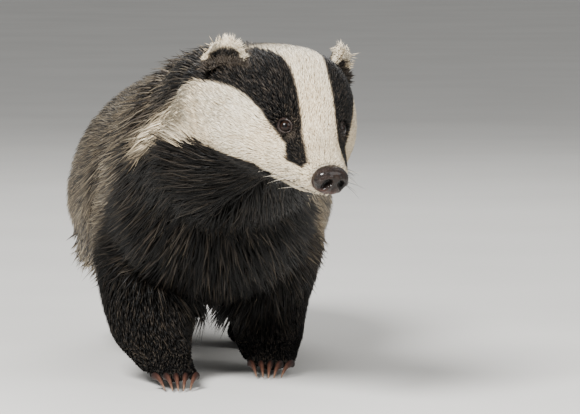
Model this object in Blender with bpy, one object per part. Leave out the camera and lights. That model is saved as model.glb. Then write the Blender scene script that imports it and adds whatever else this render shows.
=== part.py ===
"""A life-size European badger, standing with its head turned to its left.

Metres, +Z up. The animal faces -Y and its own left is +X. The coat's outer
surface is lofted from stations along the body, fused into one skin, and parted
into nodes by thin cuts.
"""

import math

import bmesh
import bpy
import numpy as np
from mathutils import Matrix, Vector
from mathutils.bvhtree import BVHTree

MM = 0.001
GAP = 0.3 * MM  # left between pieces that touch
FAR = 1.0  # half side of a box that cuts like a half space

# The head's own frame has its origin at the nose tip: forward, left, up.
NOSE_TIP = Vector((104, -290, 182)) * MM
HEAD_YAW = math.radians(28)  # turned to the animal's left
HEAD_PITCH = math.radians(30)  # nose down
HEAD_ROLL = math.radians(5)  # crown leaning to the animal's left
HEAD_CUT = -128 * MM  # where the neck begins, behind the nose tip

# Stations of the coat's surface: x, y, z of the widest level, half width, up, down, in mm.
TORSO = (
    (6, -92, 150, 60, 60, 58),
    (5, -55, 146, 77, 80, 66),
    (2, 0, 141, 92, 99, 72),
    (-3, 78, 137, 102, 107, 74),
    (-8, 160, 134, 113, 114, 74),
    (-11, 234, 134, 118, 118, 74),
    (-15, 300, 138, 113, 111, 74),
    (-19, 360, 146, 92, 93, 68),
    (-23, 414, 156, 56, 64, 52),
)
NECK = (
    (2, 40, 158, 92, 88, 84),
    (6, -40, 178, 86, 66, 78),
    (18, -100, 207, 77, 53, 70),
    (31, -145, 231, 70, 51, 60),
    (43, -180, 248, 66, 39, 51),
)
TAIL = (
    (-20, 360, 200, 46, 40, 46),
    (-24, 404, 186, 40, 34, 38),
    (-28, 444, 161, 34, 31, 32),
    (-31, 476, 127, 31, 29, 29),
    (-34, 498, 88, 21, 19, 19),
)
# Along each leg from the body down: x, y, z, half width, behind, before.
FORELEG_RIGHT = (
    (-52, 20, 165, 44, 62, 62),
    (-53, 14, 105, 45, 52, 50),
    (-47, -12, 60, 42, 42, 40),
    (-40, -42, 32, 35, 31, 30),
    (-30, -56, 10, 28, 26, 26),
)
FORELEG_LEFT = (
    (54, 24, 165, 44, 62, 62),
    (54, 44, 105, 45, 52, 50),
    (50, 56, 60, 38, 40, 38),
    (52, 54, 32, 32, 29, 28),
    (56, 44, 10, 28, 26, 26),
)
HINDLEG_RIGHT = (
    (-62, 292, 165, 58, 74, 76),
    (-67, 288, 105, 50, 60, 62),
    (-67, 332, 60, 34, 36, 38),
    (-65, 354, 34, 27, 26, 27),
    (-64, 348, 12, 25, 24, 24),
)
HINDLEG_LEFT = (
    (34, 274, 165, 58, 74, 76),
    (38, 258, 105, 50, 60, 62),
    (38, 296, 60, 34, 36, 38),
    (38, 316, 34, 27, 26, 27),
    (38, 310, 12, 25, 24, 24),
)
# Along the head: forward of the nose tip, level of the widest part, half width, up, down, in mm.
HEAD = (
    (-4, -3, 13, 10, 9),
    (-14, -4, 19, 18, 14),
    (-28, -5, 26, 23, 20),
    (-42, -6, 35, 31, 24),
    (-56, -7, 45, 41, 28),
    (-70, -8, 53, 52, 32),
    (-84, -9, 59, 61, 36),
    (-100, -9, 63, 66, 41),
    (-120, -9, 66, 59, 47),
    (-140, -8, 66, 45, 51),
    (-160, -8, 62, 32, 50),
)

# How far the core lies inside the coat's surface at the first and the last station, in mm.
TORSO_INSET = (6, 9)
NECK_INSET = (8, 1)
TAIL_INSET = (8, 9)
FORELEG_INSET = (7, -0.5)
HINDLEG_INSET = (8, -0.5)

# The coat's locks: for each node the length, width, spacing along and across the lie, in mm, and the seed.
LOCKS = {
    "torso": (112, 56, 58, 50, 34),
    "neck": (88, 46, 48, 42, 34),
    "tail": (88, 32, 42, 28, 34),
    "leg_hind_left": (72, 40, 54, 44, 3),
    "leg_hind_right": (72, 40, 54, 44, 3),
    "leg_fore_left": (58, 34, 42, 34, 34),
    "leg_fore_right": (58, 34, 42, 34, 4),
}
LOCK_SINK = 5 * MM  # depth of a root under the core's surface
LOCK_THICKNESS = 4.2 * MM
LOCK_TIP = 0.9 * MM
LOCK_SOLVER = "MANIFOLD"
LOCK_TRIES = 6000  # places drawn at random on a node, of which those far enough apart are kept
LOCK_STEPS = 4  # rings from a lock's root to its tip
ON_SKIN = 0.6 * MM  # a root is no farther than this from the core, so not on a cut face
LEG_LOCK_TOP = 150 * MM
LEG_LOCK_BOTTOM = 62 * MM
UNDER_TAIL = 190 * MM  # no lock on the rump below this
HEAD_MARGIN = 26 / 3 * MM  # no lock is rooted nearer than this behind the head's cut
LOWEST_TIP = 43 * MM  # above the wrists
LOCK_CLEAR = 0.6 * MM  # left between a lock and the flesh of another node
LOCK_OFF_NODE = 9 * MM  # a lock that runs out over another node by more than this is shortened or left out
SHORT_LOCK = 0.62  # of its length, for a lock that would run out over another node
FOLD = math.radians(62)  # the sharpest turn in a lock

VOXEL = 5 * MM
BODY_TRIANGLES = 1400
HEAD_TRIANGLES = 1900
PAW_VOXEL = 3.2 * MM
PAW_TRIANGLES = 330

# The cuts between nodes: a place on the cut, and how far it leans from upright.
NECK_CUT_PLACE = Vector((0, -34, 170)) * MM
NECK_CUT_LEAN = math.radians(-24)
NECK_CUT_BOTTOM = 70 * MM  # below the place
TAIL_CUT_PLACE = Vector((-24, 410, 188)) * MM
TAIL_CUT_LEAN = math.radians(-36)
TAIL_CUT_HALF = 60 * MM
TAIL_CUT_BOTTOM = 56 * MM
# The boxes that shoulder and hip are cut with: before, behind and above the leg's second station, in mm.
SHOULDER_BOX = (76, 62, 26)
HIP_BOX = (66, 86, 30)
LIMB_INNER = 46 * MM  # from the leg's middle towards the body's
LIMB_OUTER = 90 * MM
LIMB_RISE = 0.5  # the cut through shoulder and hip rises outward
WRIST_LEVEL = 36 * MM  # paws are cut from the legs at this height
PAWS = {
    # name: (leg stations, palm centre in mm, toes turned to the left, palm length, claw length)
    "fore_right": (FORELEG_RIGHT, (-28, -66), math.radians(6), 62 * MM, 20 * MM),
    "fore_left": (FORELEG_LEFT, (56, 34), math.radians(-4), 62 * MM, 20 * MM),
    "hind_right": (HINDLEG_RIGHT, (-63, 322), math.radians(-5), 84 * MM, 12 * MM),
    "hind_left": (HINDLEG_LEFT, (39, 284), math.radians(5), 84 * MM, 12 * MM),
}
PALM_HALF_WIDTH = 27 * MM
PALM_HEIGHT = 30 * MM
TOE_COUNT = 5
TOE_RADIUS = 7.5 * MM
TOE_SPREAD = math.radians(9)  # between one toe and the next
CLAW_RADIUS = 2.9 * MM
CLAW_ROOT = 5 * MM  # sunk in the toe

EYE_RADIUS = 6.2 * MM
EYE_PLACE = Vector((-54.3, 23.9, 16.6)) * MM  # left eye, in the head's frame
EYE_LOOK = Vector((0.60, 0.63, 0.50)).normalized()
LID_THICKNESS = 1.7 * MM
LID_OPENING = (5.6 * MM, 3.9 * MM)  # half width and half height of the almond

EAR_PLACE = Vector((-122, 50, 25)) * MM  # root of the left ear, in the head's frame
EAR_UP = Vector((-0.30, 0.27, 0.92)).normalized()
EAR_FACE = Vector((0.80, 0.58, 0.10))
EAR_HEIGHT = 28 * MM
EAR_HALF_WIDTH = 18 * MM
EAR_THICKNESS = 4.5 * MM
EAR_ROOT = 14 * MM  # sunk in the head before the cut

# The line of the mouth on the left, in the head's frame, and the radius of its groove, in mm.
MOUTH_LINE = (
    (-9, 0, -13.5, 1.2),
    (-14, 9, -14.5, 1.2),
    (-24, 17.5, -15.0, 1.2),
    (-36, 23.5, -17.0, 1.1),
    (-50, 31.0, -20.5, 0.7),
)
LIP_HEIGHT = 1.3 * MM
# Swellings and hollows of the head's left side: centre, radius and height, in mm.
HEAD_RELIEF = (
    (-54, 26, 19, 11, 1.6),  # lids
    (-66, 24, 32, 14, 2.2),  # brow
    (-41, 22, 14, 10, -1.8),  # below the inner corner of the eye
    (-56, 34, 4, 15, -2.0),  # under the eye
    (-86, 58, -14, 26, 3.0),  # cheek
    (-24, 18, -4, 10, 1.5),  # whisker pad
    (-30, 8, -22, 10, 1.0),  # chin
)

NOSE_HALF = Vector((8.5, 15.0, 11.5)) * MM
NOSE_PLACE = Vector((-6.5, 0, -1)) * MM

COAT_COLOURS = {
    "grey": (0.30, 0.28, 0.24),
    "black": (0.012, 0.011, 0.010),
    "white": (0.72, 0.69, 0.62),
}


def clear_scene():
    for old in list(bpy.data.objects):
        bpy.data.objects.remove(old)


def material(name, colour, roughness):
    made = bpy.data.materials.new(name)
    made.use_nodes = True
    shader = made.node_tree.nodes["Principled BSDF"]
    shader.inputs["Base Color"].default_value = (*colour, 1)
    shader.inputs["Roughness"].default_value = roughness
    shader.inputs["Metallic"].default_value = 0
    return made


def head_frame():
    """The matrix from the head's frame to the animal's."""
    forward = Vector(
        (
            math.sin(HEAD_YAW) * math.cos(HEAD_PITCH),
            -math.cos(HEAD_YAW) * math.cos(HEAD_PITCH),
            -math.sin(HEAD_PITCH),
        )
    )
    left = Vector((math.cos(HEAD_YAW), math.sin(HEAD_YAW), 0))
    up = forward.cross(left)
    left, up = (
        left * math.cos(HEAD_ROLL) - up * math.sin(HEAD_ROLL),
        up * math.cos(HEAD_ROLL) + left * math.sin(HEAD_ROLL),
    )
    frame = Matrix((forward, left, up)).transposed().to_4x4()
    frame.translation = NOSE_TIP
    return frame


def through(knots, values, at):
    """Smooth values between knots, by a cubic that passes through each of them."""
    knots, values, at = (np.asarray(a, float) for a in (knots, values, at))
    slope = np.gradient(values, knots, axis=0)
    i = np.clip(np.searchsorted(knots, at, side="right") - 1, 0, len(knots) - 2)
    width = knots[i + 1] - knots[i]
    t = (at - knots[i]) / width
    columns = (slice(None),) + (None,) * (values.ndim - 1)
    t, width = t[columns], width[columns]
    start, end = values[i], values[i + 1]
    return (
        (2 * t**3 - 3 * t**2 + 1) * start
        + (t**3 - 2 * t**2 + t) * width * slope[i]
        + (3 * t**2 - 2 * t**3) * end
        + (t**3 - t**2) * width * slope[i + 1]
    )


def rings_to_mesh(name, rings):
    """A closed tube from rings of points, with a cap at each end."""
    count, sides = len(rings), len(rings[0])
    points = [tuple(p) for ring in rings for p in ring]
    faces = []
    for i in range(count - 1):
        for j in range(sides):
            k = (j + 1) % sides
            a, b = i * sides, (i + 1) * sides
            faces.append((a + j, a + k, b + k, b + j))
    faces.append(tuple(reversed(range(sides))))
    faces.append(tuple((count - 1) * sides + j for j in range(sides)))
    mesh = bpy.data.meshes.new(name)
    mesh.from_pydata(points, [], faces)
    turned = bmesh.new()
    turned.from_mesh(mesh)
    bmesh.ops.recalc_face_normals(turned, faces=turned.faces)
    turned.to_mesh(mesh)
    turned.free()
    made = bpy.data.objects.new(name, mesh)
    bpy.context.scene.collection.objects.link(made)
    return made


def loft(name, stations, sides=28, step=8 * MM, cap=(30 * MM, 30 * MM), inset=(0, 0), side=(1, 0, 0)):
    """A rounded tube through stations of x, y, z, half width, up and down, in mm."""
    table = np.array(stations, float) * MM
    along = np.concatenate([[0], np.cumsum(np.linalg.norm(np.diff(table[:, :3], axis=0), axis=1))])
    length = along[-1]
    at = np.linspace(0, 1, max(6, int(length / step)))
    at = length * (0.5 - 0.5 * np.cos(np.pi * at)) * 0.35 + at * length * 0.65
    at = np.clip(at, 1e-4, length - 1e-4)
    values = through(along, table, at)
    path = values[:, :3]
    tangent = np.gradient(path, axis=0)
    tangent /= np.linalg.norm(tangent, axis=1)[:, None]
    reference = np.array(side, float)
    across = reference - (tangent @ reference)[:, None] * tangent
    across /= np.linalg.norm(across, axis=1)[:, None]
    upward = np.cross(across, tangent)
    near = np.clip(np.stack([at / cap[0], (length - at) / cap[1]]).min(axis=0), 0, 1)
    rounding = np.sqrt(np.clip(1 - (1 - near) ** 2, 0.01, 1))
    angle = np.linspace(0, 2 * np.pi, sides, endpoint=False)
    less = (inset[0] + (inset[1] - inset[0]) * at / length) * MM
    wide = (values[:, 3] - less) * rounding
    high = np.where(np.sin(angle)[None] > 0, values[:, 4:5], values[:, 5:6]) - less[:, None]
    rings = (
        path[:, None]
        + across[:, None] * (wide[:, None] * np.cos(angle)[None])[..., None]
        + upward[:, None] * (high * rounding[:, None] * np.sin(angle)[None])[..., None]
    )
    return rings_to_mesh(name, rings)


def head_rings(count, sides, back=-160 * MM):
    """Rings of the head in its own frame: narrow above and full below on the muzzle, round behind."""
    table = np.array(HEAD, float) * MM
    order = table[::-1]
    at = np.linspace(0, 1, count) ** 0.85
    at = table[0, 0] + (back - table[0, 0]) * at
    level, wide, up, down = through(order[:, 0], order[:, 1:], at).T
    angle = np.linspace(0, 2 * np.pi, sides, endpoint=False)
    cosine, sine = np.cos(angle)[None], np.sin(angle)[None]
    # The bridge of the muzzle is narrower than the lips.
    muzzle = np.clip((at - (-70 * MM)) / (60 * MM), 0, 1)[:, None]
    narrow = 1 - 0.22 * muzzle * np.clip(sine, 0, 1) ** 1.5
    rings = np.zeros((count, sides, 3))
    rings[..., 0] = at[:, None]
    rings[..., 1] = wide[:, None] * cosine * narrow
    rings[..., 2] = level[:, None] + np.where(sine > 0, up[:, None], down[:, None]) * sine
    return rings


def near_line(points, line):
    """The distance from each point to a chain of straight lines."""
    best = np.full(len(points), np.inf)
    for start, end in zip(line[:-1], line[1:]):
        along = end - start
        share = np.clip((points - start) @ along / (along @ along), 0, 1)
        best = np.minimum(best, np.linalg.norm(points - start - share[:, None] * along, axis=1))
    return best


def sculpted(rings):
    """The head's rings with brow, lids, cheeks, whisker pads and lips raised from them."""
    points = rings.reshape(-1, 3).copy()
    order = np.array(HEAD, float)[::-1] * MM
    middle = np.zeros_like(points)
    middle[:, 0] = points[:, 0]
    middle[:, 2] = np.interp(points[:, 0], order[:, 0], order[:, 1])
    outward = points - middle
    outward /= np.linalg.norm(outward, axis=1)[:, None]
    height = np.zeros(len(points))
    for hand in (1, -1):
        side = np.array((1, hand, 1))
        for *centre, radius, lift in np.array(HEAD_RELIEF, float) * MM:
            away = np.linalg.norm(points - centre * side, axis=1)
            height += lift * np.exp(-((away / radius) ** 2))
        away = near_line(points, np.array(MOUTH_LINE, float)[:, :3] * MM * side)
        height += LIP_HEIGHT * np.exp(-(((away - 2.6 * MM) / (1.8 * MM)) ** 2))
    return (points + outward * height[:, None]).reshape(rings.shape)


def placed(made, matrix):
    made.data.transform(matrix)
    return made


def evaluated(made):
    """The object's mesh with its modifiers, put in place of its own."""
    bpy.context.view_layer.update()
    graph = bpy.context.evaluated_depsgraph_get()
    mesh = bpy.data.meshes.new_from_object(made.evaluated_get(graph))
    made.modifiers.clear()
    made.data = mesh
    return made


def joined(name, pieces):
    """One object that holds all these meshes, still as separate shells."""
    whole = bmesh.new()
    for piece in pieces:
        whole.from_mesh(piece.data)
        bpy.data.objects.remove(piece)
    mesh = bpy.data.meshes.new(name)
    whole.to_mesh(mesh)
    whole.free()
    made = bpy.data.objects.new(name, mesh)
    bpy.context.scene.collection.objects.link(made)
    return made


def fused(made, voxel, smoothing, triangles):
    """The shells melted into one skin, smoothed, and thinned to about this many triangles."""
    melt = made.modifiers.new("melt", "REMESH")
    melt.mode = "VOXEL"
    melt.voxel_size = voxel
    soften = made.modifiers.new("soften", "SMOOTH")
    soften.factor = 0.5
    soften.iterations = smoothing
    evaluated(made)
    return thinned(made, triangles)


def thinned(made, triangles):
    """The mesh with about this many triangles, kept finest where it bends most."""
    split = made.modifiers.new("split", "TRIANGULATE")
    split.quad_method = "SHORTEST_DIAGONAL"
    evaluated(made)
    thin = made.modifiers.new("thin", "DECIMATE")
    thin.ratio = min(1.0, triangles / len(made.data.polygons))
    return evaluated(made)


def combined(made, other, operation, solver="EXACT"):
    """Joins, cuts or crosses a piece with another, which is removed after it."""
    cut = made.modifiers.new("cut", "BOOLEAN")
    cut.operation = operation
    cut.solver = solver
    cut.object = other
    evaluated(made)
    bpy.data.objects.remove(other)
    return made


def copied(made, name):
    twin = bpy.data.objects.new(name, made.data.copy())
    bpy.context.scene.collection.objects.link(twin)
    return twin


def largest_surface(made):
    """Keeps only the largest closed surface of a mesh. Surfaces that meet at an edge count as apart."""
    whole = bmesh.new()
    whole.from_mesh(made.data)
    whole.faces.ensure_lookup_table()
    seen, groups = set(), []
    for start in whole.faces:
        if start in seen:
            continue
        group, waiting = [], [start]
        seen.add(start)
        while waiting:
            face = waiting.pop()
            group.append(face)
            for edge in face.edges:
                if len(edge.link_faces) != 2:
                    continue
                for other in edge.link_faces:
                    if other not in seen:
                        seen.add(other)
                        waiting.append(other)
        groups.append(group)
    groups.sort(key=lambda group: sum(face.calc_area() for face in group))
    loose = [face for group in groups[:-1] for face in group]
    bmesh.ops.delete(whole, geom=loose, context="FACES")
    whole.to_mesh(made.data)
    whole.free()
    return made


def box(low, high, matrix=None, rise=0.0):
    """A closed box between two corners, turned and moved by the matrix. Its top may rise with x."""
    made = bmesh.new()
    bmesh.ops.create_cube(made, size=1)
    size = Vector(high) - Vector(low)
    centre = (Vector(high) + Vector(low)) / 2
    for vertex in made.verts:
        top = vertex.co.z > 0
        vertex.co = centre + Vector([v * s for v, s in zip(vertex.co, size)])
        if top:
            vertex.co.z += rise * (vertex.co.x - centre.x)
    mesh = bpy.data.meshes.new("cutter")
    made.to_mesh(mesh)
    made.free()
    if matrix is not None:
        mesh.transform(matrix)
    cutter = bpy.data.objects.new("cutter", mesh)
    bpy.context.scene.collection.objects.link(cutter)
    return cutter


def parted(whole, name, low, high, matrix=None, rise=0.0):
    """Cuts the material inside a box out of the whole, as a node of its own with a thin gap round it."""
    piece = combined(copied(whole, name), box(low, high, matrix, rise), "INTERSECT")
    grown = [Vector(low) - Vector((GAP,) * 3), Vector(high) + Vector((GAP,) * 3)]
    combined(whole, box(*grown, matrix, rise), "DIFFERENCE")
    return largest_surface(piece)


def limb_space(name, leg):
    """The corners of the box that a leg is cut out of the body with, and how its top rises outward."""
    hand = 1 if name.endswith("left") else -1
    middle = Vector(leg[1][:3]) * MM
    ahead, behind, top = SHOULDER_BOX if name.startswith("fore") else HIP_BOX
    ends = sorted((middle.x - hand * LIMB_INNER, middle.x + hand * LIMB_OUTER))
    low = Vector((ends[0], middle.y - ahead * MM, -FAR / 4))
    high = Vector((ends[1], middle.y + behind * MM, middle.z + top * MM))
    return low, high, hand * LIMB_RISE


def paw(name, leg, place, turn, length, claw_length):
    """A paw with five toes, and its claws, each seated in a socket of its toe."""
    heel = Vector((place[0], place[1], 0)) * MM
    forward = Vector((math.sin(turn), -math.cos(turn), 0))
    level = 0.42 * PALM_HEIGHT / MM
    palm = []
    for share, wide, high in ((-0.5, 0.72, 0.75), (-0.15, 0.92, 1.0), (0.2, 1.0, 0.92), (0.5, 0.86, 0.66)):
        middle = (heel + forward * length * share) / MM
        half = PALM_HALF_WIDTH / MM * wide
        palm.append((middle.x, middle.y, level, half, PALM_HEIGHT / MM * 0.6 * high, level + 3))
    pieces = [
        loft("leg_end", leg, sides=20, cap=(20 * MM, 12 * MM)),
        loft("palm", palm, sides=20, step=5 * MM, cap=(16 * MM, 16 * MM)),
    ]
    claws = []
    for number in range(TOE_COUNT):
        offset = number - (TOE_COUNT - 1) / 2
        way = Matrix.Rotation(-offset * TOE_SPREAD, 3, "Z") @ forward
        aside = forward.cross(Vector((0, 0, 1)))
        shorter = 1 - 0.055 * offset * offset
        root = heel + forward * length * 0.28 + aside * (-offset * PALM_HALF_WIDTH * 0.42)
        root.z = 12 * MM
        tip = root + way * (length * 0.34 * shorter + 4 * MM)
        tip.z = 9 * MM
        middle = (root + tip) / 2 + Vector((0, 0, 2 * MM))
        radius = TOE_RADIUS / MM
        stations = [
            (*(p / MM), radius * r, radius * r, radius * r)
            for p, r in ((root, 0.95), (middle, 1.05), (tip, 0.95))
        ]
        pieces.append(loft("toe", stations, sides=10, step=4 * MM, cap=(6 * MM, 7 * MM)))
        claws.append(claw(f"claw_{name}_{number + 1}", tip, way, claw_length * (0.86 + 0.14 * shorter)))
    made = fused(joined(f"paw_{name}", pieces), PAW_VOXEL, 3, PAW_TRIANGLES)
    made = combined(made, box((-FAR, -FAR, 0), (FAR, FAR, WRIST_LEVEL - GAP)), "INTERSECT")
    for horn in claws:
        socket = copied(horn, "socket")
        swell(socket, GAP)
        combined(made, socket, "DIFFERENCE")
    largest_surface(made)
    made.data.materials.clear()
    return made, claws


def swell(made, by):
    """Moves each vertex out along its normal."""
    shape = bmesh.new()
    shape.from_mesh(made.data)
    bmesh.ops.recalc_face_normals(shape, faces=shape.faces)
    shape.normal_update()
    for vertex in shape.verts:
        vertex.co += vertex.normal * by * vertex.calc_shell_factor()
    shape.to_mesh(made.data)
    shape.free()
    return made


def claw(name, tip, way, length, sides=5):
    """A horn that arches forward and down from the toe, flat-sided and tapering to a blunt point."""
    start = tip - way * CLAW_ROOT + Vector((0, 0, 1.5 * MM))
    aside = way.cross(Vector((0, 0, 1))).normalized()
    rings = []
    for share in (0.0, 0.35, 0.7, 1.0):
        run = (length + CLAW_ROOT) * share
        drop = (start.z - 1.6 * MM) * share**2.2
        middle = start + way * run - Vector((0, 0, 1)) * drop + Vector((0, 0, 3.0 * MM)) * share * (1 - share)
        radius = CLAW_RADIUS * (1 - 0.80 * share**1.6)
        ring = []
        for k in range(sides):
            angle = 2 * math.pi * k / sides
            ring.append(
                middle
                + aside * radius * 0.85 * math.cos(angle)
                + Vector((0, 0, 1)) * radius * 1.1 * math.sin(angle)
            )
        rings.append(ring)
    return rings_to_mesh(name, rings)


def ball(name, centre, radius, segments=14, rings=8):
    shape = bmesh.new()
    bmesh.ops.create_uvsphere(shape, u_segments=segments, v_segments=rings, radius=radius)
    bmesh.ops.translate(shape, vec=centre, verts=shape.verts)
    mesh = bpy.data.meshes.new(name)
    shape.to_mesh(mesh)
    shape.free()
    made = bpy.data.objects.new(name, mesh)
    bpy.context.scene.collection.objects.link(made)
    return made


def mirrored(vector, hand):
    return Vector((vector.x, vector.y * hand, vector.z))


def eye_opening(hand):
    """An almond-shaped prism along the eye's look, which opens the lids."""
    look = mirrored(EYE_LOOK, hand)
    corner = Vector((0.85, -0.42 * hand, -0.30))
    across = (corner - corner.dot(look) * look).normalized()
    upward = look.cross(across)
    wide, high = LID_OPENING
    centre = mirrored(EYE_PLACE, hand)
    rings = []
    for depth in (1 * MM, EYE_RADIUS + 3 * LID_THICKNESS):
        ring = []
        for k in range(14):
            angle = 2 * math.pi * k / 14
            ring.append(
                centre
                + look * depth
                + across * wide * math.cos(angle)
                + upward * high * math.sin(angle) * abs(math.sin(angle)) ** 0.25
            )
        rings.append(ring)
    return rings_to_mesh("opening", rings)


def mouth_groove(hand):
    """A thin bar along the line of the mouth on one side, from under the nose to the corner."""
    stations = [(x, y * hand, z, r * 2.4, r, r) for x, y, z, r in MOUTH_LINE]
    return loft("groove", stations, sides=6, step=6 * MM, cap=(0.8 * MM, 3 * MM), side=(0, 1, 0.2))


def head_form():
    """Muzzle, brow and cheeks as one closed form, with nothing cut out of it yet."""
    return thinned(rings_to_mesh("head", sculpted(head_rings(60, 64, back=HEAD_CUT))), HEAD_TRIANGLES)


def with_face(made):
    """Cuts the eye sockets and the mouth's line out of the head, and closes the lids round the eyes."""
    for hand in (1, -1):
        centre = mirrored(EYE_PLACE, hand)
        combined(made, ball("lid", centre, EYE_RADIUS + LID_THICKNESS), "UNION")
    for hand in (1, -1):
        centre = mirrored(EYE_PLACE, hand)
        combined(made, ball("socket", centre, EYE_RADIUS + GAP), "DIFFERENCE")
        combined(made, eye_opening(hand), "DIFFERENCE")
        combined(made, mouth_groove(hand), "DIFFERENCE")
    return made


def nose_node():
    """The bare nose pad, with a nostril on each side and a furrow down the middle."""
    rings = []
    for share in np.linspace(-0.98, 0.98, 8):
        ring = []
        for k in range(14):
            angle = 2 * math.pi * k / 14
            out = (1 - abs(share) ** 2.6) ** (1 / 2.6)
            x = NOSE_HALF.x * share
            y = NOSE_HALF.y * out * math.copysign(abs(math.cos(angle)) ** 0.85, math.cos(angle))
            z = NOSE_HALF.z * out * math.copysign(abs(math.sin(angle)) ** 0.85, math.sin(angle))
            narrow = 1 - 0.22 * max(0.0, -math.sin(angle))
            furrow = 1 - 0.10 * math.exp(-((y / (2.2 * MM)) ** 2)) * (share > 0)
            ring.append(NOSE_PLACE + Vector((x * furrow, y * narrow, z)))
        rings.append(ring)
    made = rings_to_mesh("nose", rings)
    for hand in (1, -1):
        line = (
            (3.0, 5.6, 0.5, 2.6),
            (0.0, 8.2, -1.2, 2.6),
            (-4.0, 13.5, -3.2, 1.7),
            (-7.0, 17.0, -4.2, 1.4),
        )
        stations = [(x, y * hand, z, r, r, r) for x, y, z, r in line]
        nostril = loft("nostril", stations, sides=8, step=3 * MM, cap=(1.5 * MM, 2 * MM), side=(0, 0, 1))
        combined(made, nostril, "DIFFERENCE")
    return largest_surface(made)


def ear_node(name, hand):
    """A short round ear in the head's frame: a cup whose mouth faces forward and out."""
    up = mirrored(EAR_UP, hand)
    face = mirrored(EAR_FACE, hand)
    face = (face - face.dot(up) * up).normalized()
    across = up.cross(face).normalized()
    root = mirrored(EAR_PLACE, hand)
    layers = []
    for side, thickness in ((1, 0.5), (-1, -0.5)):
        layer = []
        for v in np.linspace(0, 1, 8):
            height = -EAR_ROOT + (EAR_HEIGHT + EAR_ROOT) * math.sin(v * math.pi / 2)
            rise = max(0.0, height) / EAR_HEIGHT
            wide = EAR_HALF_WIDTH * (0.80 + 0.20 * math.sin(math.pi * min(1, rise * 1.25 + 0.1)))
            wide *= max(0.12, 1 - rise**4.5) ** 0.5
            row = []
            for u in np.linspace(-1, 1, 8):
                bend = u * math.radians(78)
                curl = EAR_HALF_WIDTH * 0.62
                point = (
                    root
                    + up * height
                    + across * (wide * math.sin(bend) / math.sin(math.radians(78)))
                    + face * (curl * (1 - math.cos(bend)) - curl * 0.5)
                )
                # The wall is thin at the rim and the tip.
                wall = EAR_THICKNESS * (1 - 0.55 * max(abs(u) ** 4, rise**4))
                point += (face * math.cos(bend) - across * math.sin(bend)) * wall * thickness
                row.append(point)
            layer.append(row)
        layers.append(layer)
    front, back = layers
    rings = [list(f) + list(reversed(b)) for f, b in zip(front, back)]
    return rings_to_mesh(name, rings)


def cleared(made, others):
    """Cuts a piece clear of its neighbours, with a thin gap."""
    for other in others:
        grown = copied(other, "grown")
        swell(grown, GAP)
        combined(made, grown, "DIFFERENCE")
    return largest_surface(made)


def finish(made, skin, smooth=True):
    made.data.materials.clear()
    made.data.materials.append(skin)
    if smooth:
        made.data.shade_smooth()
        made.data.set_sharp_from_angle(angle=math.radians(50))


def body_shells(insets):
    """Torso, neck, tail, skull and legs as closed shells that run into each other."""
    torso, neck, tail, foreleg, hindleg = insets
    shells = [
        loft("torso", TORSO, cap=(46 * MM, 52 * MM), inset=torso),
        loft("neck", NECK, cap=(30 * MM, 30 * MM), inset=neck),
        loft("tail", TAIL, cap=(24 * MM, 26 * MM), inset=tail),
        placed(rings_to_mesh("skull", head_rings(30, 28)), head_frame()),
    ]
    for name, facts in PAWS.items():
        inset = foreleg if name.startswith("fore") else hindleg
        shells.append(loft("leg", facts[0], sides=20, cap=(40 * MM, 12 * MM), inset=inset))
    return shells


def surface_tree(made):
    shape = bmesh.new()
    shape.from_mesh(made.data)
    tree = BVHTree.FromBMesh(shape)
    shape.free()
    return tree


def lie_of_coat(node, point, normal):
    """The way the hair points at a place: towards the tail, down the flanks and legs, along the tail."""
    if node == "tail":
        path = [Vector(station[:3]) * MM for station in TAIL]
        near = min(range(len(path) - 1), key=lambda i: ((path[i] + path[i + 1]) / 2 - point).length)
        way = (path[near + 1] - path[near]).normalized()
    elif node == "neck":
        front, back = Vector(NECK[-1][:3]), Vector(NECK[0][:3])
        way = (back - front).normalized() + Vector((0, 0, -1)) * (0.35 * abs(normal.x) + 0.8 * abs(normal.y))
    elif node.startswith("leg"):
        way = Vector((0, 0.45, -1))
    else:
        way = Vector((-0.04, 1, -0.42 * abs(normal.x) - 1.3 * abs(normal.y)))
    return (way - way.dot(normal) * normal).normalized()


def lock_path(node, root, core, coat, length):
    """Points over the core along the lie, each with its normal and the coat's height over it."""
    place, normal, _, _ = core.find_nearest(root)
    found = []
    for _ in range(LOCK_STEPS):
        outer = coat.find_nearest(place)[0]
        found.append((place.copy(), normal.copy(), (outer - place).length))
        way = lie_of_coat(node, place, normal)
        place, normal, _, _ = core.find_nearest(place + way * length / (LOCK_STEPS - 1))
    return found


def lock_mesh(path, width, draw):
    """A flat lock with a ridge: rooted under the core, widest a third of the way out, thin at its tip."""
    rings = []
    lean = draw.uniform(-0.16, 0.16)
    lift = draw.uniform(0.75, 1.1)
    last = len(path) - 1
    for number, (place, normal, height) in enumerate(path):
        share = number / last
        ahead, behind = path[min(number + 1, last)][0], path[max(number - 1, 0)][0]
        way = (ahead - behind).normalized()
        across = way.cross(normal).normalized()
        half = width / 2 * (0.62 + 1.3 * share - 1.74 * share**2)
        thick = LOCK_THICKNESS * (1 - share) + LOCK_TIP * share
        rise = -LOCK_SINK * (1 - share) ** 1.5 + (height * lift - thick / 2) * share**0.85
        middle = place + normal * rise + across * (lean * width * share**2)
        if number == last:
            half = LOCK_TIP
        rings.append(
            [
                middle - across * half - normal * thick * 0.25,
                middle + across * half - normal * thick * 0.25,
                middle + normal * thick * 0.75,
            ]
        )
    return rings_to_mesh("lock", rings)


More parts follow.
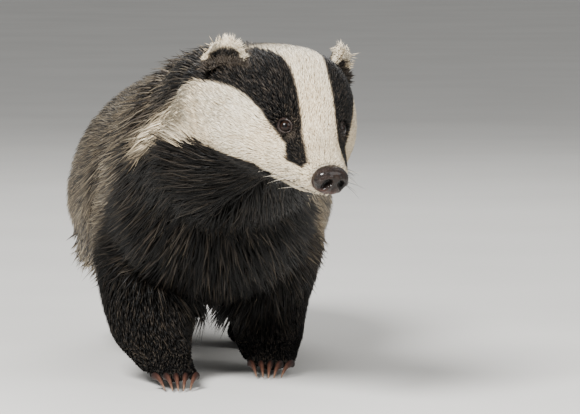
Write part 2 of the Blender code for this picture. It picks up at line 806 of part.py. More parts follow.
def root_places(node, made, core, draw):
    """Places for locks on a node's outer skin, drawn at random but kept evenly apart."""
    along, across = (value * MM for value in LOCKS[node][2:4])
    made.data.calc_loop_triangles()
    corners = np.array([v.co for v in made.data.vertices])
    faces = np.array([t.vertices for t in made.data.loop_triangles])
    a, b, c = (corners[faces[:, k]] for k in range(3))
    area = np.linalg.norm(np.cross(b - a, c - a), axis=1)
    picks = draw.choice(len(faces), LOCK_TRIES, p=area / area.sum())
    u, v = draw.random(LOCK_TRIES), draw.random(LOCK_TRIES)
    u, v = np.where(u + v > 1, 1 - u, u)[:, None], np.where(u + v > 1, 1 - v, v)[:, None]
    points = a[picks] + (b[picks] - a[picks]) * u + (c[picks] - a[picks]) * v
    kept = []
    for point in map(Vector, points):
        place, normal, _, distance = core.find_nearest(point)
        if distance > ON_SKIN or not may_carry(node, place, normal):
            continue
        way = lie_of_coat(node, place, normal)
        side = way.cross(normal)
        if all(apart(place - other, way, side, along, across) for other in kept):
            kept.append(place)
    return kept


def apart(step, way, side, along, across):
    return (step.dot(way) / along) ** 2 + (step.dot(side) / across) ** 2 + (
        (step.length / (2 * along)) ** 2
    ) > 1


def may_carry(node, place, normal):
    """Whether a lock may grow here: not on the short coat behind the head, low on a leg or under the tail."""
    if node == "torso" and normal.y > 0.6 and place.z < UNDER_TAIL:
        return False
    if node.startswith("leg"):
        return LEG_LOCK_BOTTOM < place.z < LEG_LOCK_TOP and normal.z > -0.5 and normal.y > -0.45
    behind_head = -(head_frame().inverted() @ place).x
    return behind_head > -HEAD_CUT + HEAD_MARGIN


def grow_locks(nodes, core, coat):
    """Joins each node's locks to it, cut clear of the other nodes and of their locks."""
    cutters = []
    cores = {name: copied(made, "bare") for name, made in nodes.items()}
    for name, (length, width, _, _, seed) in LOCKS.items():
        draw = np.random.default_rng(seed)
        own = surface_tree(cores[name])
        locks, grown = [], []
        for place in root_places(name, cores[name], core, draw):
            reach = length * MM * draw.uniform(0.85, 1.1)
            path = lock_path(name, place, core, coat, reach)
            if leaves_node(path, own) or path[-1][0].z < LOWEST_TIP:
                path = lock_path(name, place, core, coat, reach * SHORT_LOCK)
            if leaves_node(path, own) or folds(path) or path[-1][0].z < LOWEST_TIP:
                continue
            lock = lock_mesh(path, width * MM * draw.uniform(0.85, 1.15), draw)
            grown.append(swell(copied(lock, "grown"), GAP))
            locks.append(lock)
        united(nodes[name], locks, "UNION")
        for other, bare in cores.items():
            if other == name:
                continue
            grown_bare = swell(copied(bare, "grown"), LOCK_CLEAR)
            if touch(nodes[name], grown_bare):
                combined(nodes[name], grown_bare, "DIFFERENCE", LOCK_SOLVER)
            else:
                bpy.data.objects.remove(grown_bare)
        near = [copied(one, "near") for one in cutters if touch(nodes[name], one)]
        if near:
            united(nodes[name], near, "DIFFERENCE")
        cutters += grown
        largest_surface(nodes[name])
    for spare in [*cutters, *cores.values()]:
        bpy.data.objects.remove(spare)


def leaves_node(path, own):
    """Whether a lock's path runs out over another node, its tip apart."""
    return any(own.find_nearest(place)[3] > LOCK_OFF_NODE for place, _, _ in path)


def folds(path):
    """Whether a lock's path turns back on itself or over a sharp edge."""
    steps = [after - before for (before, _, _), (after, _, _) in zip(path[:-1], path[1:])]
    turned = any(a.length < 1e-5 or b.length < 1e-5 or a.angle(b) > FOLD for a, b in zip(steps[:-1], steps[1:]))
    return turned or any(a[1].angle(b[1]) > FOLD for a, b in zip(path[:-1], path[1:]))


def touch(one, other):
    return bool(surface_tree(one).overlap(surface_tree(other)))


def united(made, pieces, operation):
    """One Boolean of a node with a whole collection of closed pieces, which are removed after it."""
    group = bpy.data.collections.new("pieces")
    bpy.context.scene.collection.children.link(group)
    for piece in pieces:
        group.objects.link(piece)
        bpy.context.scene.collection.objects.unlink(piece)
    joint = made.modifiers.new("joint", "BOOLEAN")
    joint.operation = operation
    joint.solver = LOCK_SOLVER
    joint.operand_type = "COLLECTION"
    joint.collection = group
    evaluated(made)
    for piece in pieces:
        bpy.data.objects.remove(piece)
    bpy.data.collections.remove(group)
    return made


def build():
    clear_scene()
    to_body = head_frame()
    skins = {name: material(f"{name}_coat", colour, 0.75) for name, colour in COAT_COLOURS.items()}
    horn = material("claw_horn", (0.16, 0.10, 0.07), 0.45)
    pad = material("nose_skin", (0.035, 0.028, 0.026), 0.35)
    eye = material("eye_ball", (0.006, 0.005, 0.005), 0.05)

    outline = fused(joined("outline", body_shells([(0, 0)] * 5)), VOXEL, 10, BODY_TRIANGLES)
    insets = (TORSO_INSET, NECK_INSET, TAIL_INSET, FORELEG_INSET, HINDLEG_INSET)
    whole = fused(joined("torso", body_shells(insets)), VOXEL, 10, BODY_TRIANGLES)
    core, coat = surface_tree(whole), surface_tree(outline)
    bpy.data.objects.remove(outline)

    # The head is its own finer solid, so the whole loses everything before the cut behind the ears.
    combined(whole, box((HEAD_CUT - GAP, -FAR, -FAR), (FAR, FAR, FAR), to_body), "DIFFERENCE")
    largest_surface(whole)
    lean = Matrix.Translation(NECK_CUT_PLACE) @ Matrix.Rotation(NECK_CUT_LEAN, 4, "X")
    neck = parted(whole, "neck", (-FAR, -FAR, -NECK_CUT_BOTTOM), (FAR, 0, FAR), lean)
    droop = Matrix.Translation(TAIL_CUT_PLACE) @ Matrix.Rotation(TAIL_CUT_LEAN, 4, "X")
    low, high = (-TAIL_CUT_HALF, 0, -TAIL_CUT_BOTTOM), (TAIL_CUT_HALF, FAR / 4, FAR / 4)
    tail = parted(whole, "tail", low, high, droop)

    furred = {"torso": whole, "neck": neck, "tail": tail}
    for name, facts in PAWS.items():
        low, high, rise = limb_space(name, facts[0])
        limb = parted(whole, f"leg_{name}", low, high, rise=rise)
        combined(limb, box((-FAR, -FAR, WRIST_LEVEL), (FAR, FAR, FAR)), "INTERSECT")
        furred[f"leg_{name}"] = largest_surface(limb)
    largest_surface(whole)
    bare_neck = copied(neck, "bare_neck")
    grow_locks(furred, core, coat)
    colours = {"torso": "grey", "neck": "white", "tail": "grey"}
    nodes = [(made, colours.get(name, "black")) for name, made in furred.items()]

    head = head_form()
    bare_head = placed(copied(head, "bare_head"), to_body)
    for name, hand in (("left", 1), ("right", -1)):
        ear = placed(ear_node(f"ear_{name}", hand), to_body)
        nodes.append((cleared(ear, (bare_head, bare_neck)), "black"))
        centre = mirrored(EYE_PLACE, hand)
        finish(placed(ball(f"eye_{name}", centre, EYE_RADIUS), to_body), eye)
    bpy.data.objects.remove(bare_head)
    bpy.data.objects.remove(bare_neck)
    placed(with_face(head), to_body)
    nose = nose_node()
    seat = copied(nose, "seat")
    swell(seat, GAP)
    combined(head, placed(seat, to_body), "DIFFERENCE")
    nodes.append((largest_surface(head), "white"))
    placed(nose, to_body)
    finish(nose, pad)
    for name, (leg, place, turn, length, claw_length) in PAWS.items():
        foot, claws = paw(name, leg, place, turn, length, claw_length)
        nodes.append((foot, "black"))
        for one in claws:
            finish(one, horn)
    for node, coat in nodes:
        finish(node, skins[coat])
    centred()


def centred():
    """Moves everything so that the origin is on the ground under the middle of the whole animal."""
    corners = np.array([v.co for o in bpy.data.objects if o.type == "MESH" for v in o.data.vertices])
    low, high = corners.min(axis=0), corners.max(axis=0)
    shift = Matrix.Translation((-(low[0] + high[0]) / 2, -(low[1] + high[1]) / 2, -low[2]))
    for made in bpy.data.objects:
        if made.type == "MESH":
            made.data.transform(shift)
            made.data.update()


build()
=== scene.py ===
import math

import bpy
import numpy as np
from mathutils import Matrix, Vector


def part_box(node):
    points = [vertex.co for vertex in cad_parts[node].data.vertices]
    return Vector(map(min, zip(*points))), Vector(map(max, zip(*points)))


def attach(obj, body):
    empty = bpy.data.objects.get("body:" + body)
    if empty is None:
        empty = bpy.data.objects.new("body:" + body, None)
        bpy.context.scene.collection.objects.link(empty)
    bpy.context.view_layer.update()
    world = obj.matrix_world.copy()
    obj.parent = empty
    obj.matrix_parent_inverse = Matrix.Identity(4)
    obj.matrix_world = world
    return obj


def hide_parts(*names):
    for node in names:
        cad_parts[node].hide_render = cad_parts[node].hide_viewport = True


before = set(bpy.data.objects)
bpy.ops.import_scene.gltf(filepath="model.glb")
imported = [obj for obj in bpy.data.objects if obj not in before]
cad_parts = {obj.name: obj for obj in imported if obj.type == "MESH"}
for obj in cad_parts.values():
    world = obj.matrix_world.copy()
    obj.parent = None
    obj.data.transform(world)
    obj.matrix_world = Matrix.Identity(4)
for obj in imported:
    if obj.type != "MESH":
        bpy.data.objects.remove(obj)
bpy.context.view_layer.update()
mm = 0.001


# Stations along each part, in mm in the animal's own frame: x, y, z, half width, up and down
# (for a leg: half width, behind and before). It faces -Y and its own left is +X.
bodyForm = {
    "torso": (
        (6, -92, 150, 60, 60, 58),
        (5, -55, 146, 77, 80, 66),
        (2, 0, 141, 92, 99, 72),
        (-3, 78, 137, 102, 107, 74),
        (-8, 160, 134, 113, 114, 74),
        (-11, 234, 134, 118, 118, 74),
        (-15, 300, 138, 113, 111, 74),
        (-19, 360, 146, 92, 93, 68),
        (-23, 414, 156, 56, 64, 52),
    ),
    "neck": (
        (2, 40, 158, 92, 88, 84),
        (6, -40, 178, 86, 66, 78),
        (18, -100, 207, 77, 53, 70),
        (31, -145, 231, 70, 51, 60),
        (43, -180, 248, 66, 39, 51),
    ),
    # the full throat that joins the jaw to the chest
    "throat": (
        (66, -222, 204, 34, 18, 16),
        (52, -198, 208, 50, 34, 30),
        (32, -150, 200, 64, 44, 44),
        (16, -90, 172, 68, 50, 50),
    ),
    "tail": (
        (-20, 360, 200, 46, 40, 46),
        (-24, 404, 186, 40, 34, 38),
        (-28, 444, 161, 34, 31, 32),
        (-31, 476, 127, 31, 29, 29),
        (-34, 498, 88, 21, 19, 19),
    ),
    "foreRight": (
        (-52, 20, 165, 44, 62, 62),
        (-53, 14, 105, 45, 52, 50),
        (-47, -12, 60, 42, 42, 40),
        (-40, -42, 32, 35, 31, 30),
        (-30, -56, 10, 28, 26, 26),
    ),
    "foreLeft": (
        (54, 24, 165, 44, 62, 62),
        (54, 44, 105, 45, 52, 50),
        (50, 56, 60, 38, 40, 38),
        (52, 54, 32, 32, 29, 28),
        (56, 44, 10, 28, 26, 26),
    ),
    "hindRight": (
        (-62, 292, 165, 58, 74, 76),
        (-67, 288, 105, 50, 60, 62),
        (-67, 332, 60, 34, 36, 38),
        (-65, 354, 34, 27, 26, 27),
        (-64, 348, 12, 25, 24, 24),
    ),
    "hindLeft": (
        (34, 274, 165, 58, 74, 76),
        (38, 258, 105, 50, 60, 62),
        (38, 296, 60, 34, 36, 38),
        (38, 316, 34, 27, 26, 27),
        (38, 310, 12, 25, 24, 24),
    ),
}

# How far the skin lies inside the coat's surface at the first and last station, in mm.
coatDepth = {
    "torso": (13, 15),
    "neck": (13, 7),
    "throat": (4, 12),
    "tail": (14, 14),
    "foreRight": (11, 3.5),
    "foreLeft": (11, 3.5),
    "hindRight": (12, 3.5),
    "hindLeft": (12, 3.5),
    "head": 3.0,
    "paw": 2.6,
}

head = {
    "noseTip": (104, -290, 182),
    "yaw": 28,
    "pitch": 30,
    "roll": 5,
    "axisLevel": -9,  # of the line that the marks' angles turn round, in the head's frame
    # forward of the nose tip, level of the widest part, half width, up, down
    "rings": (
        (-4, -3, 13, 10, 9),
        (-14, -4, 19, 18, 14),
        (-28, -5, 26, 23, 20),
        (-42, -6, 35, 31, 24),
        (-56, -7, 45, 41, 28),
        (-70, -8, 53, 52, 32),
        (-84, -9, 59, 61, 36),
        (-100, -9, 63, 66, 41),
        (-120, -9, 66, 59, 47),
        (-140, -8, 66, 45, 51),
        (-160, -8, 62, 32, 50),
    ),
    # swellings and hollows of the left side: centre, radius and height
    "relief": (
        (-54, 26, 19, 11, 1.6),
        (-66, 24, 32, 14, 2.2),
        (-41, 22, 14, 10, -1.8),
        (-56, 34, 4, 15, -2.0),
        (-86, 58, -14, 26, 3.0),
        (-24, 18, -4, 10, 1.5),
        (-30, 8, -22, 10, 1.0),
    ),
    # the line of the mouth on the left
    "mouth": ((-9, 0, -13.5), (-14, 9, -14.5), (-24, 17.5, -15.0), (-36, 23.5, -17.0), (-50, 31.0, -20.5)),
    # height of the lips' swelling, its distance from that line and its half width
    "lip": (1.3, 2.6, 1.8),
    # depth and half width of the groove between them
    "groove": (2.2, 1.1),
}

eye = {
    "place": (-54.3, 23.9, 16.6),
    "look": (0.60, 0.63, 0.50),
    "corner": (0.85, -0.42, -0.30),  # the way the inner corner points
    "radius": 6.2,
    "cornea": 0.35,  # how far it bulges
    "halfWide": 5.5,
    "halfHigh": 4.9,
    "play": 0.15,  # between the ball and its socket
    "lid": 1.0,  # thickness of the lids
    "rim": 0.95,  # radius of the bead along their edge
}


def headMatrix():
    # Columns: forward (yawed left, pitched down), left, up; roll turns left and up about forward.
    yaw, pitch, roll = (math.radians(head[k]) for k in ("yaw", "pitch", "roll"))
    forward = Vector((math.sin(yaw) * math.cos(pitch), -math.cos(yaw) * math.cos(pitch), -math.sin(pitch)))
    left = Vector((math.cos(yaw), math.sin(yaw), 0))
    up = forward.cross(left)
    left, up = (
        left * math.cos(roll) - up * math.sin(roll),
        up * math.cos(roll) + left * math.sin(roll),
    )
    made = Matrix((forward, left, up)).transposed().to_4x4()
    made.translation = Vector(head["noseTip"])
    return made


headTurn = np.array(headMatrix())


def headToBody(p):
    # turn . p + nose tip: from the head's frame (forward, left, up) to the animal's, both in mm.
    return np.asarray(p, float) @ headTurn[:3, :3].T + headTurn[:3, 3]


def bodyToHead(p):
    # The way back: (p - nose tip) . turn.
    return (np.asarray(p, float) - headTurn[:3, 3]) @ headTurn[:3, :3]


def boxCentre(node):
    # Half the sum of the two corners of a CAD node's box, in metres.
    low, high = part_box(node)
    return (np.array(low) + np.array(high)) / 2


def mirrored(v, hand):
    # A place or direction of the left side, or with hand -1 its twin on the right.
    return np.array(v, float) * (1, hand, 1)


hands = {"Left": 1, "Right": -1}  # the animal's own
# The CAD stands centred on the floor: the eyes give the shift from the animal's own frame.
toFloor = np.mean(
    [
        boxCentre(f"eye_{side.lower()}") - headToBody(mirrored(eye["place"], hand)) * mm
        for side, hand in hands.items()
    ],
    axis=0,
)
toFloor[2] = 0
print("shift to the floor, mm", np.round(toFloor / mm, 2))


def placedPoints(p):
    # p * 0.001 + shift: from the animal's frame in mm to the scene's in metres.
    return np.asarray(p, float) * mm + toFloor


def unplaced(p):
    # The way back: (p - shift) / 0.001.
    return (np.asarray(p, float) - toFloor) / mm


def unit(v):
    # v / |v|
    return v / np.maximum(np.linalg.norm(v, axis=-1, keepdims=True), 1e-9)


def smoothstep(x, low, high):
    # t^2 (3 - 2 t), with t = (x - low) / (high - low) kept between 0 and 1.
    t = np.clip((x - low) / (high - low), 0, 1)
    return t * t * (3 - 2 * t)


def blended(base, over, share):
    # base (1 - share) + over share
    return base * (1 - share) + over * share


def awayFrom(p, place, hand):
    # |p - place|, for a place of the left side or with hand -1 its twin.
    return np.linalg.norm(p - mirrored(place, hand), axis=1)


def alongLine(points):
    # The length of a chain of points from the first to each.
    return np.concatenate([[0], np.cumsum(np.linalg.norm(np.diff(points, axis=0), axis=1))])


def meshObject(name, points, faces):
    # points is (n, 3) in metres, faces a list of index arrays of one width each, or lists.
    mesh = bpy.data.meshes.new(name)
    rows = [row for block in faces for row in (block.tolist() if isinstance(block, np.ndarray) else block)]
    mesh.from_pydata(np.asarray(points, float).tolist(), [], rows)
    mesh.shade_smooth()
    made = bpy.data.objects.new(name, mesh)
    bpy.context.scene.collection.objects.link(made)
    return made


def gridFaces(rows, columns, closed=False):
    # Quads between neighbouring rings of points; closed joins the last ring to the first.
    i = np.arange(rows if closed else rows - 1)[:, None]
    j = np.arange(columns)[None]
    nextRow, nextColumn = (i + 1) % rows, (j + 1) % columns
    corners = (
        i * columns + j,
        i * columns + nextColumn,
        nextRow * columns + nextColumn,
        nextRow * columns + j,
    )
    return np.stack(np.broadcast_arrays(*corners), axis=-1).reshape(-1, 4)


def facingOut(points, faces):
    # Turns every face over when the signed volume, a sum of p0 . (p1 x p2) / 6, is negative.
    volume = 0.0
    for block in faces:
        block = np.asarray(block)
        for k in range(1, block.shape[1] - 1):
            a, b, c = points[block[:, 0]], points[block[:, k]], points[block[:, k + 1]]
            volume += np.einsum("ij,ij->i", a, np.cross(b, c)).sum()
    return [np.asarray(block)[:, ::-1] for block in faces] if volume < 0 else faces


def tubeFaces(count, sides):
    # Quads between the rings, and a cap over the first and the last.
    cap = np.arange(sides)[None]
    return [gridFaces(count, sides), cap[:, ::-1], (count - 1) * sides + cap]


def tube(name, rings):
    # rings is (rings, sides, 3) in the animal's frame: a closed tube with a cap at each end.
    points = placedPoints(rings.reshape(-1, 3))
    return meshObject(name, points, facingOut(points, tubeFaces(*rings.shape[:2])))


def through(knots, values, at):
    # Cubic between knots with central-difference slopes, so the curve passes through each value.
    knots, values, at = (np.asarray(a, float) for a in (knots, values, at))
    slope = np.gradient(values, knots, axis=0)
    i = np.clip(np.searchsorted(knots, at, side="right") - 1, 0, len(knots) - 2)
    width = knots[i + 1] - knots[i]
    t = (at - knots[i]) / width
    t, width = t[:, None], width[:, None]
    start, end = values[i], values[i + 1]
    return (
        (2 * t**3 - 3 * t**2 + 1) * start
        + (t**3 - 2 * t**2 + t) * width * slope[i]
        + (3 * t**2 - 2 * t**3) * end
        + (t**3 - t**2) * width * slope[i + 1]
    )


def loftRings(stations, cap, inset, sides=40, step=6):
    # A rounded tube: ring(s, a) = path(s) + across * half(s) cos a + upward * rise(s, a) sin a,
    # each shrunk by the inset, and near each end by sqrt(1 - (1 - near)^2).
    table = np.array(stations, float)
    along = alongLine(table[:, :3])
    length = along[-1]
    share = np.linspace(0, 1, max(8, int(length / step)))
    crowding = 0.35  # how much closer the rings stand near the ends
    at = length * (0.5 - 0.5 * np.cos(np.pi * share)) * crowding + share * length * (1 - crowding)
    at = np.clip(at, 0.1, length - 0.1)
    values = through(along, table, at)
    path = values[:, :3]
    tangent = unit(np.gradient(path, axis=0))
    across = unit(np.array((1.0, 0, 0)) - tangent[:, :1] * tangent)
    upward = np.cross(across, tangent)
    near = np.clip(np.stack([at / cap[0], (length - at) / cap[1]]).min(axis=0), 0, 1)
    rounding = np.sqrt(np.clip(1 - (1 - near) ** 2, 0.01, 1))
    angle = np.linspace(0, 2 * np.pi, sides, endpoint=False)
    less = inset[0] + (inset[1] - inset[0]) * at / length
    wide = (values[:, 3] - less) * rounding
    high = np.where(np.sin(angle)[None] > 0, values[:, 4:5], values[:, 5:6]) - less[:, None]
    return (
        path[:, None]
        + across[:, None] * (wide[:, None] * np.cos(angle)[None])[..., None]
        + upward[:, None] * (high * rounding[:, None] * np.sin(angle)[None])[..., None]
    )


def ringsRound(path, first, second, high, wide, sides):
    # An ellipse round each point of a path: path + first * high cos t + second * wide sin t.
    turn = np.linspace(0, 2 * math.pi, sides, endpoint=False)
    high, wide = (np.asarray(v, float)[..., None] for v in (high, wide))
    return (
        path[..., None, :]
        + first[..., None, :] * (high * np.cos(turn))[..., None]
        + second[..., None, :] * (wide * np.sin(turn))[..., None]
    )


def nearLine(points, line):
    # Distance from each point to a chain of straight lines.
    best = np.full(len(points), np.inf)
    for start, end in zip(line[:-1], line[1:]):
        along = end - start
        share = np.clip((points - start) @ along / (along @ along), 0, 1)
        best = np.minimum(best, np.linalg.norm(points - start - share[:, None] * along, axis=1))
    return best


def headRings(count, sides, inset):
    # Ring(x, a) = (x, half(x) cos a, level(x) + rise(x, a) sin a), narrower at the muzzle's top, then
    # moved out by lift * exp(-(away / radius)^2) for each swelling, and by the lips and the groove.
    order = np.array(head["rings"], float)[::-1]
    front = order[-1, 0]
    at = front + (order[0, 0] - front) * np.linspace(0, 1, count) ** 0.85
    level, wide, up, down = through(order[:, 0], order[:, 1:], at).T
    shallow = np.clip(inset * (0.35 - at / 60), 0, inset)
    angle = np.linspace(0, 2 * np.pi, sides, endpoint=False)
    cosine, sine = np.cos(angle)[None], np.sin(angle)[None]
    muzzle = np.clip((at + 70) / 60, 0, 1)[:, None]
    narrow = 1 - 0.22 * muzzle * np.clip(sine, 0, 1) ** 1.5
    rise = np.where(sine > 0, (up - shallow)[:, None], (down - shallow)[:, None])
    rings = np.zeros((count, sides, 3))
    rings[..., 0] = at[:, None]
    rings[..., 1] = (wide - shallow)[:, None] * cosine * narrow
    rings[..., 2] = level[:, None] + rise * sine
    points = rings.reshape(-1, 3)
    middle = np.zeros_like(points)
    middle[:, 0] = points[:, 0]
    middle[:, 2] = np.interp(points[:, 0], order[:, 0], order[:, 1])
    outward = unit(points - middle)
    lipHeight, lipAway, lipWide = head["lip"]
    grooveDepth, grooveWide = head["groove"]
    height = np.zeros(len(points))
    for hand in hands.values():
        for *centre, radius, lift in head["relief"]:
            height += lift * np.exp(-((awayFrom(points, centre, hand) / radius) ** 2))
        away = nearLine(points, mirrored(head["mouth"], hand))
        height += lipHeight * np.exp(-(((away - lipAway) / lipWide) ** 2))
        height -= grooveDepth * np.exp(-((away / grooveWide) ** 2))
    return headToBody(points + outward * height[:, None]).reshape(rings.shape)


def evaluated(made):
    # Puts what the object's modifiers make of its mesh in that mesh's place.
    bpy.context.view_layer.update()
    graph = bpy.context.evaluated_depsgraph_get()
    mesh = bpy.data.meshes.new_from_object(made.evaluated_get(graph))
    made.modifiers.clear()
    old = made.data
    made.data = mesh
    bpy.data.meshes.remove(old)
    return made


def joinedShells(name, pieces):
    # One mesh that holds every shell, its points and faces put one after another.
    points, faces, start = [], [], 0
    for piece in pieces:
        points.append(pointsOf(piece))
        faces += [[start + v for v in face.vertices] for face in piece.data.polygons]
        start += len(points[-1])
        bpy.data.objects.remove(piece)
    return meshObject(name, np.concatenate(points), [faces])


def fused(name, pieces, voxel, smoothing):
    # One surface round all the shells, from voxels of that many mm, then smoothed that many times.
    made = joinedShells(name, pieces)
    melt = made.modifiers.new("melt", "REMESH")
    melt.mode = "VOXEL"
    melt.voxel_size = voxel * mm
    soften = made.modifiers.new("soften", "SMOOTH")
    soften.factor = 0.5
    soften.iterations = smoothing
    return evaluated(made)


def booleaned(made, other, operation):
    # Joins the other closed solid to this one, or takes it out of it.
    cut = made.modifiers.new("cut", "BOOLEAN")
    cut.operation = operation
    cut.solver = "MANIFOLD"
    cut.object = other
    evaluated(made)
    bpy.data.objects.remove(other)
    return made


def pointsOf(made):
    # The mesh's points as one (n, 3) array, in metres.
    spots = np.empty(len(made.data.vertices) * 3)
    made.data.vertices.foreach_get("co", spots)
    return spots.reshape(-1, 3)


def normalsOf(made):
    # The mesh's triangles, and at each point the sum of their cross products, made a unit vector.
    mesh = made.data
    mesh.calc_loop_triangles()
    faces = np.empty(len(mesh.loop_triangles) * 3, np.int64)
    mesh.loop_triangles.foreach_get("vertices", faces)
    faces = faces.reshape(-1, 3)
    spots = pointsOf(made)
    flat = np.cross(spots[faces[:, 1]] - spots[faces[:, 0]], spots[faces[:, 2]] - spots[faces[:, 0]])
    normal = np.zeros_like(spots)
    for k in range(3):
        np.add.at(normal, faces[:, k], flat)
    return faces, normal / np.maximum(np.linalg.norm(normal, axis=1), 1e-12)[:, None]


ear = {
    "place": (-122, 50, 25),
    "up": (-0.30, 0.27, 0.92),
    "face": (0.80, 0.58, 0.10),
    "height": 25,
    "halfWide": 18,
    "coat": (2, 1.5),  # depth of the fur over its tip and its sides
    "bend": 78,  # degrees from its middle to either side
    "curl": 0.62,  # depth of the cup over the half width
    "wall": 3.6,
    "root": 14,  # how far it reaches into the skull
}


def earAxes(hand):
    # The ear's root, and its unit vectors up, facing and across, in the head's frame.
    up = unit(mirrored(ear["up"], hand))
    face = mirrored(ear["face"], hand)
    face = unit(face - (face @ up) * up)
    return mirrored(ear["place"], hand), up, face, unit(np.cross(up, face))


def earShell(hand):
    # A cup: root + up * height + across * wide sin(bend) + face * curl (1 - cos bend), with half the
    # wall on either side of that sheet.
    root, up, face, across = earAxes(hand)
    v = np.linspace(0, 1, 22)[:, None]
    u = np.linspace(-1, 1, 25)[None]
    tipCoat, sideCoat = ear["coat"]
    height = -ear["root"] + (ear["height"] - tipCoat + ear["root"]) * np.sin(v * math.pi / 2)
    rise = np.clip(height, 0, None) / ear["height"]
    wide = (ear["halfWide"] - sideCoat) * (0.80 + 0.20 * np.sin(math.pi * np.minimum(1, rise * 1.25 + 0.1)))
    wide = wide * np.sqrt(np.maximum(0.12, 1 - rise**4.5))
    most = math.radians(ear["bend"])
    bend = u * most
    curl = ear["halfWide"] * ear["curl"]
    middle = (
        root
        + up * height[..., None]
        + across * (wide * np.sin(bend) / math.sin(most))[..., None]
        + face * (curl * (1 - np.cos(bend)) - curl * 0.5 + 0 * v)[..., None]
    )
    wall = ear["wall"] * (1 - 0.45 * np.maximum(np.abs(u) ** 4, rise**4))
    out = (face * np.cos(bend)[..., None] - across * np.sin(bend)[..., None]) * wall[..., None] / 2
    rings = np.concatenate([middle + out, (middle - out)[:, ::-1]], axis=1)
    return tube("earShell", headToBody(rings))


def eyeAxes(hand):
    # Unit vectors in the head's frame: the look, across it to the inner corner, and upward.
    look = unit(mirrored(eye["look"], hand))
    corner = mirrored(eye["corner"], hand)
    across = unit(corner - (corner @ look) * look)
    return look, across, np.cross(look, across) * hand


def almond(hand, angle):
    # The opening's outline, seen along the look: across cos a, upward sin a |sin a|^0.15.
    _, across, upward = eyeAxes(hand)
    return (
        across * (eye["halfWide"] * np.cos(angle))[..., None]
        + upward * (eye["halfHigh"] * np.sin(angle) * np.abs(np.sin(angle)) ** 0.15)[..., None]
    )


def eyeRings(hand, radius, polar, columns):
    # A ball round the look: place + r (look cos p + (across cos t + other sin t) sin p).
    look, across, _ = eyeAxes(hand)
    other = np.cross(look, across)
    polar = polar[:, None, None]
    turn = np.linspace(0, 2 * math.pi, columns, endpoint=False)[None, :, None]
    aside = across * np.cos(turn) + other * np.sin(turn)
    return mirrored(eye["place"], hand) + radius * (look * np.cos(polar) + aside * np.sin(polar))


lidPolar = np.linspace(0.03, math.pi - 0.03, 24)  # angles of the lids' rings from the look


def eyeCut(hand):
    # What the socket takes out of the skin: a ball, and the opening carried out along the look.
    ball = tube("ball", headToBody(eyeRings(hand, eye["radius"] + eye["play"], lidPolar, 32)))
    angle = np.linspace(0, 2 * math.pi, 40, endpoint=False)
    depth = np.array((1.0, 16.0))[:, None, None]
    outlines = mirrored(eye["place"], hand) + eyeAxes(hand)[0] * depth + almond(hand, angle)[None]
    return booleaned(ball, tube("opening", headToBody(outlines)), "UNION")


# Palm centre, turn of the toes to the left in degrees, lengths of palm and claws, CAD name.
paws = {
    "foreRight": {"palm": (-28, -66), "turn": 6, "length": 62, "claw": 20, "cadName": "fore_right"},
    "foreLeft": {"palm": (56, 34), "turn": -4, "length": 62, "claw": 20, "cadName": "fore_left"},
    "hindRight": {"palm": (-63, 322), "turn": -5, "length": 84, "claw": 12, "cadName": "hind_right"},
    "hindLeft": {"palm": (39, 284), "turn": 5, "length": 84, "claw": 12, "cadName": "hind_left"},
}

toes = {
    "count": 5,
    "radius": 7.5,
    "spread": 9,  # degrees between neighbours
    "shorter": 0.055,  # share of its length that a toe loses for the square of its place from the middle
    "rootLevel": 12,
    "tipLevel": 9,
    "halfPalm": 27,
    "palmHeight": 30,
    # share along the palm, and shares of its width and height there
    "palmRings": ((-0.5, 0.72, 0.75), (-0.15, 0.92, 1.0), (0.2, 1.0, 0.92), (0.5, 0.86, 0.66)),
    "clawRoot": 5,
    "clawRadius": 2.9,
}


def pawFrame(leg):
    # The palm's centre on the floor, the way the toes point, and the palm's length.
    paw = paws[leg]
    turn = math.radians(paw["turn"])
    forward = np.array((math.sin(turn), -math.cos(turn), 0))
    return np.array((*paw["palm"], 0.0)), forward, paw["length"]


def toePlace(number):
    # A toe's place, counted from the middle one, and its share of length, 1 - shorter * place^2.
    offset = number - (toes["count"] - 1) / 2
    return offset, 1 - toes["shorter"] * offset * offset


def pawShells(leg):
    # Palm and five toes as lofts inset by the paw's coat.
    centre, forward, length = pawFrame(leg)
    less = coatDepth["paw"]
    level = 0.42 * toes["palmHeight"]
    palm = []
    for share, wide, high in toes["palmRings"]:
        middle = centre + forward * length * share
        rise = toes["palmHeight"] * 0.6 * high
        palm.append((middle[0], middle[1], level, toes["halfPalm"] * wide, rise, level + 3))
    made = [tube("palm", loftRings(palm, (16, 16), (less, less), 28, 5))]
    for *line, _ in toeLines(leg):
        stations = [(*p, *(3 * [toes["radius"] * r])) for p, r in zip(line, (0.95, 1.05, 0.95))]
        made.append(tube("toe", loftRings(stations, (6, 7), (less * 0.5, less * 0.6), 16, 3)))
    return made


def toeLines(leg):
    # Root, middle and tip of each toe: side by side before the palm, each turned by the spread
    # towards the middle one, with the way it points.
    centre, forward, length = pawFrame(leg)
    left = np.cross((0, 0, 1), forward)
    lines = []
    for number in range(toes["count"]):
        offset, share = toePlace(number)
        bend = -offset * math.radians(toes["spread"])
        way = forward * math.cos(bend) + left * math.sin(bend)
        root = centre + forward * length * 0.28 + left * (offset * toes["halfPalm"] * 0.42)
        root[2] = toes["rootLevel"]
        tip = root + way * (length * 0.34 * share + 4)
        tip[2] = toes["tipLevel"]
        lines.append((root, (root + tip) / 2 + (0, 0, 2), tip, way))
    return lines


# Where the skin is smoothed, in mm: each pair is where it fades in, or at the nape's end out.
passage = {
    "napeStart": (88, 122),  # behind the nose tip
    "napeEnd": (170, 205),
    "earClear": (16, 30),  # from an ear's root
    "jaw": (40, 75),  # behind the nose tip
    "below": (22, 40),  # under it, square to the head's axis
    "before": (40, 80),  # before the shoulders
    "chest": (80, 110),  # above the floor
    "rounds": 160,
}


